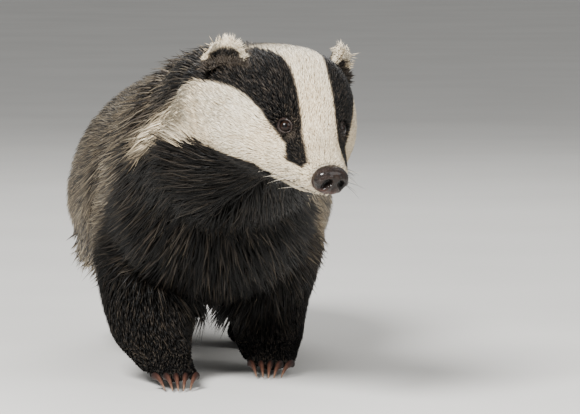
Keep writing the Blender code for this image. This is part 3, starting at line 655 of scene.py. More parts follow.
def relaxed(made):
    # On the nape and under the throat each point moves towards its neighbours' mean many times
    # over: p + share (mean - p), with at most half for the share.
    mesh = made.data
    ends = np.empty(len(mesh.edges) * 2, np.int64)
    mesh.edges.foreach_get("vertices", ends)
    first, second = ends.reshape(-1, 2).T
    spots = pointsOf(made)
    places = unplaced(spots)
    local = bodyToHead(places)
    behind = -local[:, 0]
    nape = smoothstep(behind, *passage["napeStart"]) * (1 - smoothstep(behind, *passage["napeEnd"]))
    nape = nape * (1 - earness(places) * 8).clip(0, 1)
    for hand in hands.values():
        nape = nape * smoothstep(awayFrom(local, ear["place"], hand), *passage["earClear"])
    throat = smoothstep(behind, *passage["jaw"]) * smoothstep(-local[:, 2], *passage["below"])
    throat = throat * smoothstep(-places[:, 1], *passage["before"])
    throat = throat * smoothstep(places[:, 2], *passage["chest"])
    share = (0.5 * np.maximum(nape, throat))[:, None]
    total = len(spots)
    count = np.maximum(np.bincount(first, minlength=total) + np.bincount(second, minlength=total), 1)
    for _ in range(passage["rounds"]):
        sums = [
            np.bincount(first, spots[second, k], total) + np.bincount(second, spots[first, k], total)
            for k in range(3)
        ]
        spots += (np.stack(sums, axis=1) / count[:, None] - spots) * share
    mesh.vertices.foreach_set("co", spots.reshape(-1))
    mesh.update()


# How far the rounding of the first and last end reaches, in mm.
endRounding = {"torso": (46, 52), "neck": (30, 30), "throat": (20, 30), "tail": (24, 26), "leg": (40, 12)}

# Voxel size in mm and rounds of smoothing of the skin's two halves.
remesh = {"body": (3.0, 4), "face": (1.5, 2)}


def skinObject():
    # Body and paws fused, head with lids and ears fused, sockets cut out of it, then the two joined.
    shells = []
    for part, stations in bodyForm.items():
        cap = endRounding.get(part, endRounding["leg"])
        shells.append(tube(part, loftRings(stations, cap, coatDepth[part])))
    for leg in paws:
        shells += pawShells(leg)
    made = fused("skin", shells, *remesh["body"])
    print("body skin", len(made.data.polygons))
    skull = [tube("skull", headRings(150, 128, coatDepth["head"]))]
    for hand in hands.values():
        skull.append(tube("lid", headToBody(eyeRings(hand, eye["radius"] + eye["lid"], lidPolar, 32))))
        skull.append(earShell(hand))
    face = fused("face", skull, *remesh["face"])
    for hand in hands.values():
        booleaned(face, eyeCut(hand), "DIFFERENCE")
    booleaned(made, face, "UNION")
    relaxed(made)
    # The soles are flat on the floor.
    spots = pointsOf(made)
    spots[:, 2] = np.maximum(spots[:, 2], 0.5 * mm)
    made.data.vertices.foreach_set("co", spots.reshape(-1))
    made.data.shade_smooth()
    print("whole skin", len(made.data.polygons))
    return made


# Edges of the face's marks, as angles from the top of the head round its axis, against the
# distance behind the nose tip in mm; past 130 they run on down the neck.
marks = {
    "stripeStart": 19,  # the muzzle's white ends here
    # half its width, in mm
    "blaze": (
        (0, 17), (22, 16), (34, 14.8), (50, 15.6), (85, 16), (100, 19), (115, 23), (135, 30), (165, 44),
    ),
    "blazeEnd": (122, 152),  # it greys between these
    "stripeOuter": (
        (15, 70), (20, 76), (32, 82), (42, 62), (49, 59), (57, 57), (69, 54), (85, 55), (97, 59), (115, 67),
        (131, 76), (144, 85), (151, 92), (160, 101), (167, 113), (181, 131), (194, 144), (206, 154),
    ),
    "cheekLower": (
        (0, 200), (30, 182), (40, 142), (46, 116), (57, 106), (77, 108), (99, 114), (120, 122), (137, 136),
        (150, 137), (166, 142), (179, 149), (193, 156), (206, 157),
    ),
    "cheekEnd": (188, 232),  # the neck's white fades between these
    # height of the black's upper edge along the body, in mm
    "blackTop": (
        (-190, 255), (-120, 208), (-90, 186), (-65, 168), (-43, 150), (-5, 118), (60, 96), (120, 80),
        (190, 74), (260, 70), (340, 84), (400, 96),
    ),
    "blackRagged": 20,  # and how far it fades to either side
    # paler spots by the eye: place ahead of, outside and above it, reach in mm, strength
    "paleByEye": (((3.5, 1.0, 1.0), 9.0, 1.0), ((10.5, -1.5, -2.5), 4.6, 1.6)),
}

# Tones from 0, black, to 1, white.
tones = {
    "grey": 0.38,
    "black": 0.035,
    "tail": 0.74,
    "neckWhite": 0.92,
    "faceWhite": 1.0,
    "faceBlack": 0.03,
    "roundEye": 0.15,  # how much paler
    "ear": 0.04,
    "earEdge": 0.94,  # how much paler
}


def ringAngle(p):
    # Distance behind the nose tip, the angle from the top of the head round its axis, in degrees,
    # and the place in the head's frame.
    local = bodyToHead(p)
    back = -local[:, 0]
    rings = np.array(head["rings"], float)
    level = np.interp(back, -rings[:, 0], rings[:, 1])
    angle = np.degrees(np.arctan2(np.abs(local[:, 1]), local[:, 2] - level))
    return back, angle, local


def stationTable(part):
    # Places, mean radii, unit tangents and shares of the length along a part, about 12 mm apart.
    table = np.array(bodyForm[part], float)
    along = alongLine(table[:, :3])
    at = np.linspace(0, along[-1], max(12, int(along[-1] / 12)))
    values = through(along, table, at)
    path = values[:, :3]
    return path, values[:, 3:].mean(axis=1), unit(np.gradient(path, axis=0)), at / along[-1]


def partNearness(p):
    # For each part: distance to its centre line over its radius there, and the tangent.
    found = {}
    rows = np.arange(len(p))
    for part in (k for k in bodyForm if k != "throat"):
        centres, radius, tangent, _ = stationTable(part)
        away = np.linalg.norm(p[:, None] - centres[None], axis=2) / radius[None]
        nearest = away.argmin(axis=1)
        found[part] = (away[rows, nearest], tangent[nearest])
    return found


def headness(p):
    # 1 on the head, fading to 0 from 112 to 150 mm behind the nose tip and off the head's sides.
    back, _, local = ringAngle(p)
    axial = np.hypot(local[:, 1] / 78, (local[:, 2] - head["axisLevel"]) / 88)
    return (1 - smoothstep(back, 112, 150)) * (1 - smoothstep(axial, 0.95, 1.15)) * (p[:, 2] > 75)


def earPlace(p):
    # On either ear: share of its height, share of its half width, and 1 where the point is on it.
    best = np.full((3, len(p)), -1.0)
    best[2] = 0
    local = bodyToHead(p)
    for hand in hands.values():
        root, up, face, across = earAxes(hand)
        offset = local - root
        rise, front, aside = offset @ up, offset @ face, np.abs(offset @ across)
        inside = smoothstep(rise, 0, 5) * (aside < ear["halfWide"] + 4) * (np.abs(front) < 15)
        found = np.stack([rise / ear["height"], aside / ear["halfWide"], inside])
        best = np.where(inside > best[2], found, best)
    return best


def earness(p):
    # 0 off the ears, and on them the share of their height.
    rise, _, inside = earPlace(p)
    return inside * np.clip(rise, 0.02, 1)


def earRim(p):
    # 1 along the ear's upper edge, which runs lower at its sides, and 1 where the point is on an ear.
    rise, aside, inside = earPlace(p)
    edge = np.maximum(rise, 0.56 + 0.42 * (aside - 0.56) * (rise > 0.32))
    return smoothstep(edge, 0.50, 0.66), smoothstep(inside, 0.0, 0.2)


def soft(distance, width):
    # 1 well inside an edge and 0 well outside it.
    return 1 - smoothstep(distance, -width, width)


def wave(p, size, seed):
    # A slow random field about size mm across: four sines in random directions, divided by 2.8.
    draw = np.random.default_rng(seed)
    total = np.zeros(len(p))
    for _ in range(4):
        way = unit(draw.normal(size=3))
        total += np.sin(p @ way * (2 * math.pi / size) * draw.uniform(0.6, 1.5) + draw.uniform(0, 6.28))
    return total / 2.8


def markEdge(name, at):
    # The mark's edge at each distance, in straight lines between its rows.
    return np.interp(at, *zip(*marks[name]))


def bodyTone(p):
    # Grizzled back, paler along the flanks towards the rump, black below and a pale tail.
    near = partNearness(p)
    back, angle, _ = ringAngle(p)
    y, z = p[:, 1], p[:, 2]
    grey = tones["grey"] + 0.14 * smoothstep(y, -120, -10) + 0.05 * smoothstep(y, -20, 160)
    grey = grey + 0.05 * wave(p, 60, 3)
    besideNeck = smoothstep(angle, 100, 138) * smoothstep(back, 160, 190) * (1 - smoothstep(back, 260, 330))
    grey = grey + 0.18 * besideNeck + 0.08 * smoothstep(y, 40, 140) * (1 - smoothstep(z, 110, 190))
    # Belly, chest, shoulder fronts and legs are black, with a ragged edge.
    edge = markEdge("blackTop", y) + 8 * wave(p, 34, 5)
    black = 1 - smoothstep(z, edge - marks["blackRagged"], edge + marks["blackRagged"])
    tone = blended(grey, tones["black"], black)
    tail = smoothstep(near["torso"][0] - near["tail"][0], 0.05, 0.35) * (y > 380)
    return blended(tone, tones["tail"], tail), (1 - black) * (1 - 0.5 * tail)


def whiteMarks(p):
    # Where the white of cheeks, blaze and muzzle is, and how stained it is above the nose.
    back, angle, local = ringAngle(p)
    off = local[:, 2] - head["axisLevel"]
    # Cheeks, whose white runs on down the neck, between the stripe and the black throat.
    perDegree = np.maximum(np.hypot(local[:, 1], off), 12) / 57
    ragged = 1.5 + 5 * smoothstep(back, 120, 190)
    above = (markEdge("stripeOuter", back) - angle) * perDegree
    above = soft(above, ragged + 7 * smoothstep(back, 165, 205))
    below = 1 - soft((angle - markEdge("cheekLower", back)) * perDegree, ragged)
    rings = np.array(head["rings"], float)
    wide, down = (np.interp(back, -rings[:, 0], rings[:, k]) for k in (2, 4))
    radial = np.hypot(local[:, 1] / wide, off / (1.3 * down))
    reach = np.interp(back, (20, 110, 150, 200), (1.6, 1.3, 1.7, 2.4))
    near = (p[:, 1] < -60) & (back < 230) & (radial < reach)
    cheek = above * (1 - below) * (1 - smoothstep(back, *marks["cheekEnd"])) * near
    # The blaze between the stripes, which greys behind the ears.
    blaze = soft(np.abs(local[:, 1]) - markEdge("blaze", back), 1.8)
    blaze = blaze * (1 - smoothstep(back, *marks["blazeEnd"])) * (angle < 90)
    muzzle = soft(back - marks["stripeStart"], 2.5) * headness(p) * (radial < 1.7)
    white = np.clip(np.maximum(np.maximum(cheek, blaze), muzzle * (1 - below)), 0, 1)
    stained = np.exp(-(((back - 26) / 13) ** 2)) * (angle < 60) * (0.09 + 0.05 * wave(p, 9, 12))
    return white, stained


def coatTone(p):
    # Tone of the coat's own colour, 0 black and 1 white, and how much of it is banded grey hair:
    # the body's, then the head's over it, then the ears'.
    local = bodyToHead(p)
    face = headness(p)
    tone, grizzle = bodyTone(p)
    white, stained = whiteMarks(p)
    roundEye = np.zeros(len(p))
    for hand in hands.values():
        for ahead, width, much in marks["paleByEye"]:
            away = awayFrom(local, np.add(eye["place"], ahead), hand)
            roundEye += much * np.exp(-((away / width) ** 4))
    faceTone = blended(tones["faceBlack"] + tones["roundEye"] * roundEye, tones["faceWhite"] - stained, white)
    tone = blended(blended(tone, tones["neckWhite"], white), faceTone, face)
    grizzle = grizzle * (1 - face) * (1 - white)
    rim, onEar = earRim(p)
    tone = blended(tone, tones["ear"] + tones["earEdge"] * rim, onEar)
    return np.clip(tone, 0, 1), np.clip(grizzle * (1 - onEar), 0, 1)


def lieField(p, normal):
    # The way the hair lies: along each part, away from the nose, down the legs, laid on the surface.
    way = np.zeros_like(p)
    for part, (away, tangent) in partNearness(p).items():
        weight = np.maximum(away, 0.3) ** (-5.0 if part in ("neck", "tail") else -3.0)
        way += weight[:, None] * tangent * (-1 if part == "neck" else 1)
    way = unit(way)
    # Long hair hangs from the flanks and the belly's edge.
    flank = (1 - np.abs(normal[:, 2])) * smoothstep(p[:, 1], -40, 60) * smoothstep(p[:, 2], 40, 90)
    way = way + np.array((0, 0, -1.0)) * (0.55 * flank)[:, None]
    # On the head it runs back from the nose and spreads over the cheeks.
    _, angle, local = ringAngle(p)
    face = headness(p)[:, None]
    outward = np.sign(local[:, 1]) * smoothstep(angle, 20, 80) * 0.35
    headWay = np.stack([-np.ones(len(p)), outward, -0.15 * smoothstep(angle, 40, 100)], axis=1)
    for hand in hands.values():
        offset = local - mirrored(eye["place"], hand)
        distance = np.linalg.norm(offset, axis=1)
        headWay += unit(offset) * (1.6 * np.exp(-((distance / 11) ** 2)))[:, None]
    way = blended(way, unit(headWay) @ headTurn[:3, :3].T, face)
    # On the ears it fans out to the edge and leans back.
    onEars = smoothstep(earness(p), 0.0, 0.05)[:, None]
    for hand in hands.values():
        root, up, facing, across = earAxes(hand)
        aside = ((local - root) @ across / ear["halfWide"])[:, None]
        earWay = unit(0.42 * up + 1.25 * aside * across - 0.6 * facing)
        way = blended(way, earWay @ headTurn[:3, :3].T, onEars * (local[:, 1:2] * hand > 0))
    # On the paws it runs forward over the toes.
    foot = (1 - smoothstep(p[:, 2], 26, 44))[:, None] * (1 - face)
    way = blended(way, np.array((0.0, -1.0, -0.25)), foot)
    return unit(way - (way * normal).sum(axis=1)[:, None] * normal)


fur = {
    # tufts on each part, 10 triangles each, and the pieces that they are sorted into along it
    "counts": {
        "head": 44000, "neck": 15000, "torso": 42000, "tail": 5000,
        "foreRight": 7500, "foreLeft": 7500, "hindRight": 7500, "hindLeft": 7500,
    },
    "names": {
        "head": ("furMuzzle", "furFace", "furCrown"), "neck": ("furNeck",),
        "torso": ("furShoulders", "furBack", "furRump"), "tail": ("furTail",),
        "foreRight": ("furForelegRight",), "foreLeft": ("furForelegLeft",),
        "hindRight": ("furHindlegRight",), "hindLeft": ("furHindlegLeft",),
    },
    "slots": {"head": "white_coat", "neck": "white_coat", "torso": "grey_coat", "tail": "grey_coat"},
    "seed": 100,
    "cell": 4.0,  # of the grid that finds the nearest skin, in mm
    "footLevel": 60,  # below it the nearest leg owns the skin
    "patch": 0.003,  # of the unwrapped square, for each tuft
    # how many times denser, against the distance behind the nose tip or the height on a leg
    "headDenser": ((0, 2.2), (30, 1.7), (60, 1.25), (90, 1.0), (140, 0.8)),
    "legDenser": ((0, 2.6), (40, 1.9), (100, 1.0), (160, 0.7)),
    "earDenser": 2.2,  # this much more on the ears
    # share of its length that hair loses round the eye and the ear's root, and how far round, in mm
    "shorter": ((eye["place"], 0.62, 12), (ear["place"], 0.5, 30)),
    "spread": {"Length": (0.75, 1.15), "Width": (0.8, 1.25), "Depth": (0.72, 1.15)},
    # length, half width and depth of the coat, in mm
    "body": {"Length": 47.0, "Width": 1.0, "Depth": 14.0},
    "neck": {"Length": 40.0, "Width": 0.95, "Depth": 12.0},
    "ear": {"Length": (5.0, 7.8), "Width": (0.26, 0.29), "Depth": (1.0, 1.4)},
    # the same against the distance behind the nose tip
    "headBack": (0, 15, 30, 60, 80, 95, 115, 140),
    "headLength": (3.5, 4.5, 6.5, 9, 12, 18, 27, 32),
    "headWidth": (0.30, 0.33, 0.38, 0.45, 0.48, 0.52, 0.60, 0.75),
    "headDepth": (1.6, 2.0, 2.6, 3.2, 3.6, 4.4, 6.0, 8.0),
    # and on a leg against its height
    "legHeight": (0, 20, 40, 80, 130, 180),
    "legLength": (8, 8.5, 10, 18, 28, 40),
    "legWidth": (0.40, 0.45, 0.52, 0.65, 0.80, 0.95),
    "legDepth": (2.2, 2.4, 3.0, 5.0, 8, 12),
}


def nearestGrid(spots):
    # Cells of a box grid, each near one with the number of the skin point that lies nearest to it:
    # the filled cells grow by one cell along each axis, eleven times.
    cell, margin = fur["cell"], 48
    low = spots.min(axis=0) - margin
    size = np.ceil((spots.max(axis=0) + margin - low) / cell).astype(int)
    grid = np.full(size, -1, np.int32)
    grid[tuple(((spots - low) / cell).astype(int).T)] = np.arange(len(spots))
    for _ in range(11):
        for axis in range(3):
            for step in (1, -1):
                grid = np.where(grid < 0, np.roll(grid, step, axis=axis), grid)
    return grid, low


def lookUp(grid, low, p):
    # The number held by the cell (p - low) / cell.
    index = ((p - low) / fur["cell"]).astype(int)
    index = np.clip(index, 0, np.array(grid.shape) - 1)
    return grid[tuple(index.T)]


def rootsOn(faces, spots, weight, count, draw):
    # Even shares of the weighted area, one root in each: a + (b - a) u + (c - a) v on its triangle.
    a, b, c = (spots[faces[:, k]] for k in range(3))
    share = np.linalg.norm(np.cross(b - a, c - a), axis=1) * weight[faces].mean(axis=1)
    total = np.cumsum(share)
    at = (np.arange(count) + draw.random(count)) / count * total[-1]
    pick = np.clip(np.searchsorted(total, at), 0, len(faces) - 1)
    u, v = draw.random((2, count, 1))
    over = u + v > 1
    u, v = np.where(over, 1 - u, u), np.where(over, 1 - v, v)
    return a[pick] + (b[pick] - a[pick]) * u + (c[pick] - a[pick]) * v, pick


def regionSizes(p, part, eared):
    # Length, half width and depth of the coat at each root.
    back, angle, local = ringAngle(p)
    # Short hair round the eyes and at the ears' roots.
    short = np.ones(len(p))
    for hand in hands.values():
        for place, less, reach in fur["shorter"]:
            short *= 1 - less * np.exp(-((awayFrom(local, place, hand) / reach) ** 4))
    underJaw = 1 + 0.9 * smoothstep(angle, 112, 135) * smoothstep(back, 60, 105)
    factors = {
        "Length": (0.6 + 0.4 * smoothstep(angle, 55, 95)) * short * underJaw,
        "Width": 1.0,
        "Depth": underJaw,
    }
    onEar = smoothstep(eared, 0.0, 0.05)
    tipward = smoothstep(eared, 0.55, 0.85)
    sizes = []
    for kind, factor in factors.items():
        onHead = np.interp(back, fur["headBack"], fur["head" + kind]) * factor
        if part == "head":
            value = onHead
        elif part == "neck":
            value = blended(onHead, fur["neck"][kind], smoothstep(p[:, 1], -190, -20))
        elif part in paws:
            value = np.interp(p[:, 2], fur["legHeight"], fur["leg" + kind])
        else:
            value = np.full(len(p), fur["body"][kind])
        root, tip = fur["ear"][kind]
        sizes.append(blended(value, root + (tip - root) * tipward, onEar))
    return sizes


# Triangles of a tuft: points 0 to 2 at the root, 3 to 5 at the middle, 6 at the tip.
tuftFaces = np.array(
    (
        (0, 2, 1), (0, 1, 4), (0, 4, 3), (1, 2, 5), (1, 5, 4),
        (2, 0, 3), (2, 3, 5), (3, 4, 6), (4, 5, 6), (5, 3, 6),
    )
)


def tuftPath(roots, normals, ways, sizes, skinData, draw):
    # Root, middle and tip: each ahead + normal of the nearest skin * (depth there - height), so that
    # the tuft follows the skin, and where the skin turns away it keeps its own way.
    spots, skinNormals, grid, low = skinData
    length, _, depth = sizes
    outer = depth * draw.uniform(*fur["spread"]["Depth"], len(roots))
    path, outward = [roots - normals * 0.6], [normals]
    here, way, normal = roots, ways, normals
    for share, climb in ((0.52, 0.66), (0.48, 1.0)):
        ahead = here + way * (length * share)[:, None]
        nearest = lookUp(grid, low, ahead)
        found, foundNormal = spots[nearest], skinNormals[nearest]
        facing = np.clip((foundNormal * normal).sum(axis=1) * 1.4 - 0.4, 0, 1)
        height = ((ahead - found) * foundNormal).sum(axis=1)
        lift = (outer * climb - height) * facing + (1 - facing) * outer * 0.3
        facing = facing[:, None]
        here = ahead + np.where(facing > 0, foundNormal, normal) * lift[:, None]
        way = unit(way - (way * foundNormal).sum(axis=1)[:, None] * foundNormal * facing)
        normal = unit(blended(normal, foundNormal, facing))
        path.append(here)
        outward.append(normal)
    return path, outward


def tuftObject(name, roots, normals, ways, sizes, tuftTones, places, material, skinData, draw):
    # Two rings and a tip on a path over the skin: each ring a flat triangle of centre + across * w,
    # centre - across * w and centre + outward * 0.55 w.
    path, outward = tuftPath(roots, normals, ways, sizes, skinData, draw)
    width = sizes[1]
    rings = []
    for k, along, wide in ((0, unit(path[1] - path[0]), 0.8), (1, unit(path[2] - path[0]), 1.0)):
        across = unit(np.cross(along, outward[k]))
        high = np.cross(across, along)
        half = (width * wide)[:, None]
        rings += [path[k] + across * half, path[k] - across * half, path[k] + high * half * 0.55]
    points = np.stack([*rings, path[2]], axis=1)
    points[..., 2] = np.maximum(points[..., 2], 0.6)
    count, corners, triangles = len(roots), points.shape[1], len(tuftFaces)
    pattern = np.concatenate(facingOut(placedPoints(points[0]), [tuftFaces]))
    loops = (np.arange(count)[:, None, None] * corners + pattern[None]).reshape(-1)
    mesh = bpy.data.meshes.new(name)
    mesh.vertices.add(count * corners)
    mesh.vertices.foreach_set("co", placedPoints(points.reshape(-1, 3)).reshape(-1).astype(np.float32))
    mesh.loops.add(len(loops))
    mesh.loops.foreach_set("vertex_index", loops.astype(np.int32))
    mesh.polygons.add(count * triangles)
    mesh.polygons.foreach_set("loop_start", np.arange(0, len(loops), 3, dtype=np.int32))
    mesh.polygons.foreach_set("loop_total", np.full(count * triangles, 3, np.int32))
    mesh.polygons.foreach_set("use_smooth", np.ones(count * triangles, bool))
    mesh.update(calc_edges=True)
    attribute(mesh, "tone", np.repeat(tuftTones, (3, 3, 1), axis=1).reshape(-1))
    attribute(mesh, "strand", np.repeat(draw.random(count), corners))
    # A patch at the root's place on the unwrapped part, the tuft's length running up it.
    flat = np.array(((-1, -1), (1, -1), (0, -0.8), (-1, 0), (1, 0), (0, 0.2), (0, 1))) * (fur["patch"] / 2)
    layer = mesh.uv_layers.new(name="OFBake")
    uv = (places[:, None] + flat[None])[:, pattern.reshape(-1)]
    layer.data.foreach_set("uv", uv.reshape(-1).astype(np.float32))
    made = bpy.data.objects.new(name, mesh)
    bpy.context.scene.collection.objects.link(made)
    mesh.materials.append(material)
    return made


def attribute(mesh, name, values):
    # One number at each point, for a material to read.
    layer = mesh.attributes.new(name, "FLOAT", "POINT")
    layer.data.foreach_set("value", np.asarray(values, np.float32))


def unwrapped(p, part):
    # Angle round the part's centre line and distance along it.
    if part == "head":
        back, _, local = ringAngle(p)
        return np.stack([np.arctan2(local[:, 1], local[:, 2] - head["axisLevel"]), back], axis=1)
    centres, _, tangent, share = stationTable(part)
    nearest = np.linalg.norm(p[:, None] - centres[None], axis=2).argmin(axis=1)
    offset = p - centres[nearest]
    way = tangent[nearest]
    across = unit(np.cross(way, (0.3, 0.2, 1.0)))
    upward = np.cross(across, way)
    right, above, along = ((offset * axis).sum(axis=1) for axis in (across, upward, way))
    return np.stack([np.arctan2(right, above), share[nearest] + along / 400], axis=1)


def squared(flat):
    # (flat - low) / (high - low), inside a margin of 0.01 of the square.
    low, high = flat.min(axis=0), flat.max(axis=0)
    return 0.01 + 0.98 * (flat - low) / np.maximum(high - low, 1e-6)


def bareSpots(p, normal):
    # 0 where no hair grows: nose pad, eye openings, lips' line and soles.
    local = bodyToHead(p)
    pad = np.linalg.norm((local - nose["place"]) / nose["bare"], axis=1)
    grows = smoothstep(pad, 0.97, 1.03)
    for hand in hands.values():
        offset = local - mirrored(eye["place"], hand)
        distance = np.linalg.norm(offset, axis=1)
        facing = (offset @ eyeAxes(hand)[0]) / np.maximum(distance, 1e-6)
        grows *= 1 - (distance < 9.0) * (facing > 0.60)
        grows *= smoothstep(nearLine(local, mirrored(head["mouth"], hand)), 0.8, 1.4)
    grows *= smoothstep(p[:, 2], 2.5, 5.0)
    grows *= 1 - smoothstep(-normal[:, 2], 0.5, 0.9) * (p[:, 2] < 12)
    return grows


def skinOwners(spots):
    # The part that each skin point belongs to: the nearest, the head on the head, a leg near the floor.
    near = partNearness(spots)
    face = headness(spots)

    # The name of the nearest of these parts at each point.
    def nearestOf(names):
        return np.array(names)[np.stack([near[k][0] for k in names]).argmin(axis=0)]

    owner = np.where(face > 0.5, "head", nearestOf(list(near)))
    low = (spots[:, 2] < fur["footLevel"]) & (face < 0.5)
    return np.where(low, nearestOf(list(paws)), owner)


def denser(spots, part):
    # How many times denser the tufts stand at each skin point.
    if part == "head":
        onEar = 1 + fur["earDenser"] * (earness(spots) > 0)
        return np.interp(ringAngle(spots)[0], *zip(*fur["headDenser"])) * onEar
    if part in paws:
        return np.interp(spots[:, 2], *zip(*fur["legDenser"]))
    return 1.0


def tuftSizes(roots, normals, part, eared, draw):
    # The coat's sizes at each root, each times a random share, and deeper where the hair hangs.
    count = len(roots)
    sizes = regionSizes(roots, part, eared)
    sizes[0] = sizes[0] * draw.uniform(*fur["spread"]["Length"], count)
    sizes[1] = sizes[1] * draw.uniform(*fur["spread"]["Width"], count) * 1.0
    if part == "torso":
        inner = 0.9 * (1 - smoothstep(np.abs(roots[:, 0] - 5), 42, 80))
        hanging = np.maximum(smoothstep(roots[:, 1], 20, 100), inner)
        hanging = smoothstep(-normals[:, 2], 0.0, 0.55) * hanging
        sizes[2] = sizes[2] * (1 + 0.95 * hanging * draw.random(count))
    if part in ("head", "neck"):
        below = smoothstep(ringAngle(roots)[1], 118, 145) * (roots[:, 1] < -60) * (sizes[2] > 3)
        sizes[2] = sizes[2] * (1 + 0.9 * below * draw.uniform(-0.5, 1, count))
    return sizes


def tuftWays(roots, normals, part, number, draw):
    # The lie at each root, swung aside by a slow wave and a little at random: unit(lie + side * swing).
    ways = lieField(roots, normals)
    side = np.cross(ways, normals)
    calm = 0.8 if part in ("head", "neck") else np.interp(roots[:, 2], (40, 160), (0.6, 1.0))
    swing = (0.20 * wave(roots, 26, 40 + number) + 0.13 * draw.normal(size=len(roots))) * calm
    return unit(ways + side * swing[:, None])


def bandedTones(roots, tone, grizzle, number, draw):
    # Tones of root, middle and tip: even hair where grizzle is 0, dark middle and pale tip where 1.
    count = len(roots)
    tone = np.clip(tone + draw.normal(0, 1, count) * (0.02 + 0.05 * grizzle), 0.0, 1.0)
    tone = tone + 0.07 * grizzle * wave(roots, 11, 60 + number)
    dark = grizzle * draw.uniform(0.16, 0.48, count)
    pale = grizzle * draw.uniform(-0.26, 0.52, count)
    # A share of the black tufts get paler middles and tips: partly silver guard hairs, partly painted glints
    # of light on the black coat.
    paleTipsAndGlints = (draw.random(count) < 0.32) * (tone < 0.15) * draw.uniform(0.16, 0.46, count)
    kind = draw.random(count)
    pale = pale + grizzle * ((kind < 0.22) * 0.25 - (kind > 0.72) * 0.22)
    bands = [tone + 0.12 * grizzle, tone - dark + paleTipsAndGlints * 0.5, tone + pale + paleTipsAndGlints]
    return np.clip(np.stack(bands, axis=1), 0, 1)


def furPieces(skin, material):
    # Tufts over the whole skin, part by part, each part's cut into pieces of equal count along it.
    faces, skinNormals = normalsOf(skin)
    spots = unplaced(pointsOf(skin))
    skinData = (spots, skinNormals, *nearestGrid(spots))
    owner = skinOwners(spots)
    grows = bareSpots(spots, skinNormals)
    made = []
    for number, (part, count) in enumerate(fur["counts"].items()):
        draw = np.random.default_rng(fur["seed"] + number)
        count = count
        weight = (owner == part) * grows * denser(spots, part)
        roots, pick = rootsOn(faces, spots, weight, count, draw)
        normals = unit(skinNormals[faces[pick]].mean(axis=1))
        eared = earness(roots)
        sizes = tuftSizes(roots, normals, part, eared, draw)
        ways = tuftWays(roots, normals, part, number, draw)
        # A tuft takes the tone of the place that its middle covers, and on an ear of its root's.
        lies = np.where(eared > 0, 0.0, 0.45)[:, None]
        tone, grizzle = coatTone(roots + ways * sizes[0][:, None] * lies)
        if part == "head":
            back, angle, _ = ringAngle(roots)
            sizes[0] = sizes[0] * np.where((tone > 0.4) & (angle > 92) & (back < 105), 0.6, 1.0)
        banded = bandedTones(roots, tone, grizzle, number, draw)
        places = unwrapped(roots, part)
        groups = fur["names"][part]
        order = places[:, 1]
        edges = np.quantile(order, np.linspace(0, 1, len(groups) + 1))
        for k, name in enumerate(groups):
            chosen = (order >= edges[k]) & ((order < edges[k + 1]) | (k == len(groups) - 1))
            piece = tuftObject(
                name, roots[chosen], normals[chosen], ways[chosen], [s[chosen] for s in sizes],
                banded[chosen], squared(places[chosen]), material, skinData, draw,
            )
            made.append((piece, fur["slots"].get(part, "black_coat")))
            print("fur", name, len(piece.data.polygons))
    return made


def eyeBall(side):
    # A ball round the look with the radius r + cornea * exp(-(p / 0.55)^2), p being the angle from
    # the front pole.
    polar = np.linspace(0.0, math.pi, 49)
    polar[0], polar[-1] = 0.004, math.pi - 0.004
    radius = eye["radius"] + eye["cornea"] * np.exp(-((polar / 0.55) ** 2))
    made = tube(f"eye{side}", headToBody(eyeRings(hands[side], radius[:, None, None], polar, 64)))
    attribute(made.data, "gaze", np.repeat(polar, 64))
    return made


def lidRim(side):
    # A bead along the opening's outline: place + outline(a) + look * sqrt((r + 0.5)^2 -
    # |outline|^2), with a slightly flat circle round each of its points.
    centre = mirrored(eye["place"], hands[side])
    angle = np.linspace(0, 2 * math.pi, 72, endpoint=False)
    flat = almond(hands[side], angle) * 1.04
    depth = np.sqrt(np.maximum((eye["radius"] + 0.5) ** 2 - (flat**2).sum(axis=1), 1))
    path = centre + flat + eyeAxes(hands[side])[0] * depth[:, None]
    along = unit(np.roll(path, -1, axis=0) - np.roll(path, 1, axis=0))
    out = unit(path - centre)
    rings = ringsRound(path, out, np.cross(along, out), 0.8 * eye["rim"], eye["rim"], 12)
    points = placedPoints(headToBody(rings).reshape(-1, 3))
    faces = gridFaces(*rings.shape[:2], closed=True)
    return meshObject(f"lidRim{side}", points, facingOut(points, [faces]))


nose = {
    "half": (8.5, 15.0, 11.5),
    "place": (-6.5, 0.0, -1.0),
    "bare": (9.8, 16.2, 12.6),  # half sizes of the hairless skin round it
    "power": 2.6,
    "furrow": (1.3, 1.3),  # depth and half width
    # the left nostril, from its inner end round to the slit at the side, its half width and depth
    "nostril": ((7.8, 5.2, 2.0), (7.4, 7.2, 0.8), (6.6, 8.0, -1.6), (5.0, 10.4, -3.2), (2.6, 12.6, -3.6)),
    "nostrilHalf": 2.6,
    "nostrilDepth": 5.0,
    # the rim round it: height, distance and half width
    "nostrilRim": (0.55, 4.3, 1.5),
}


def squarish(v):
    # A circle's cosine or sine squared a little: |v|^0.85 with the sign of v.
    return np.sign(v) * np.abs(v) ** 0.85


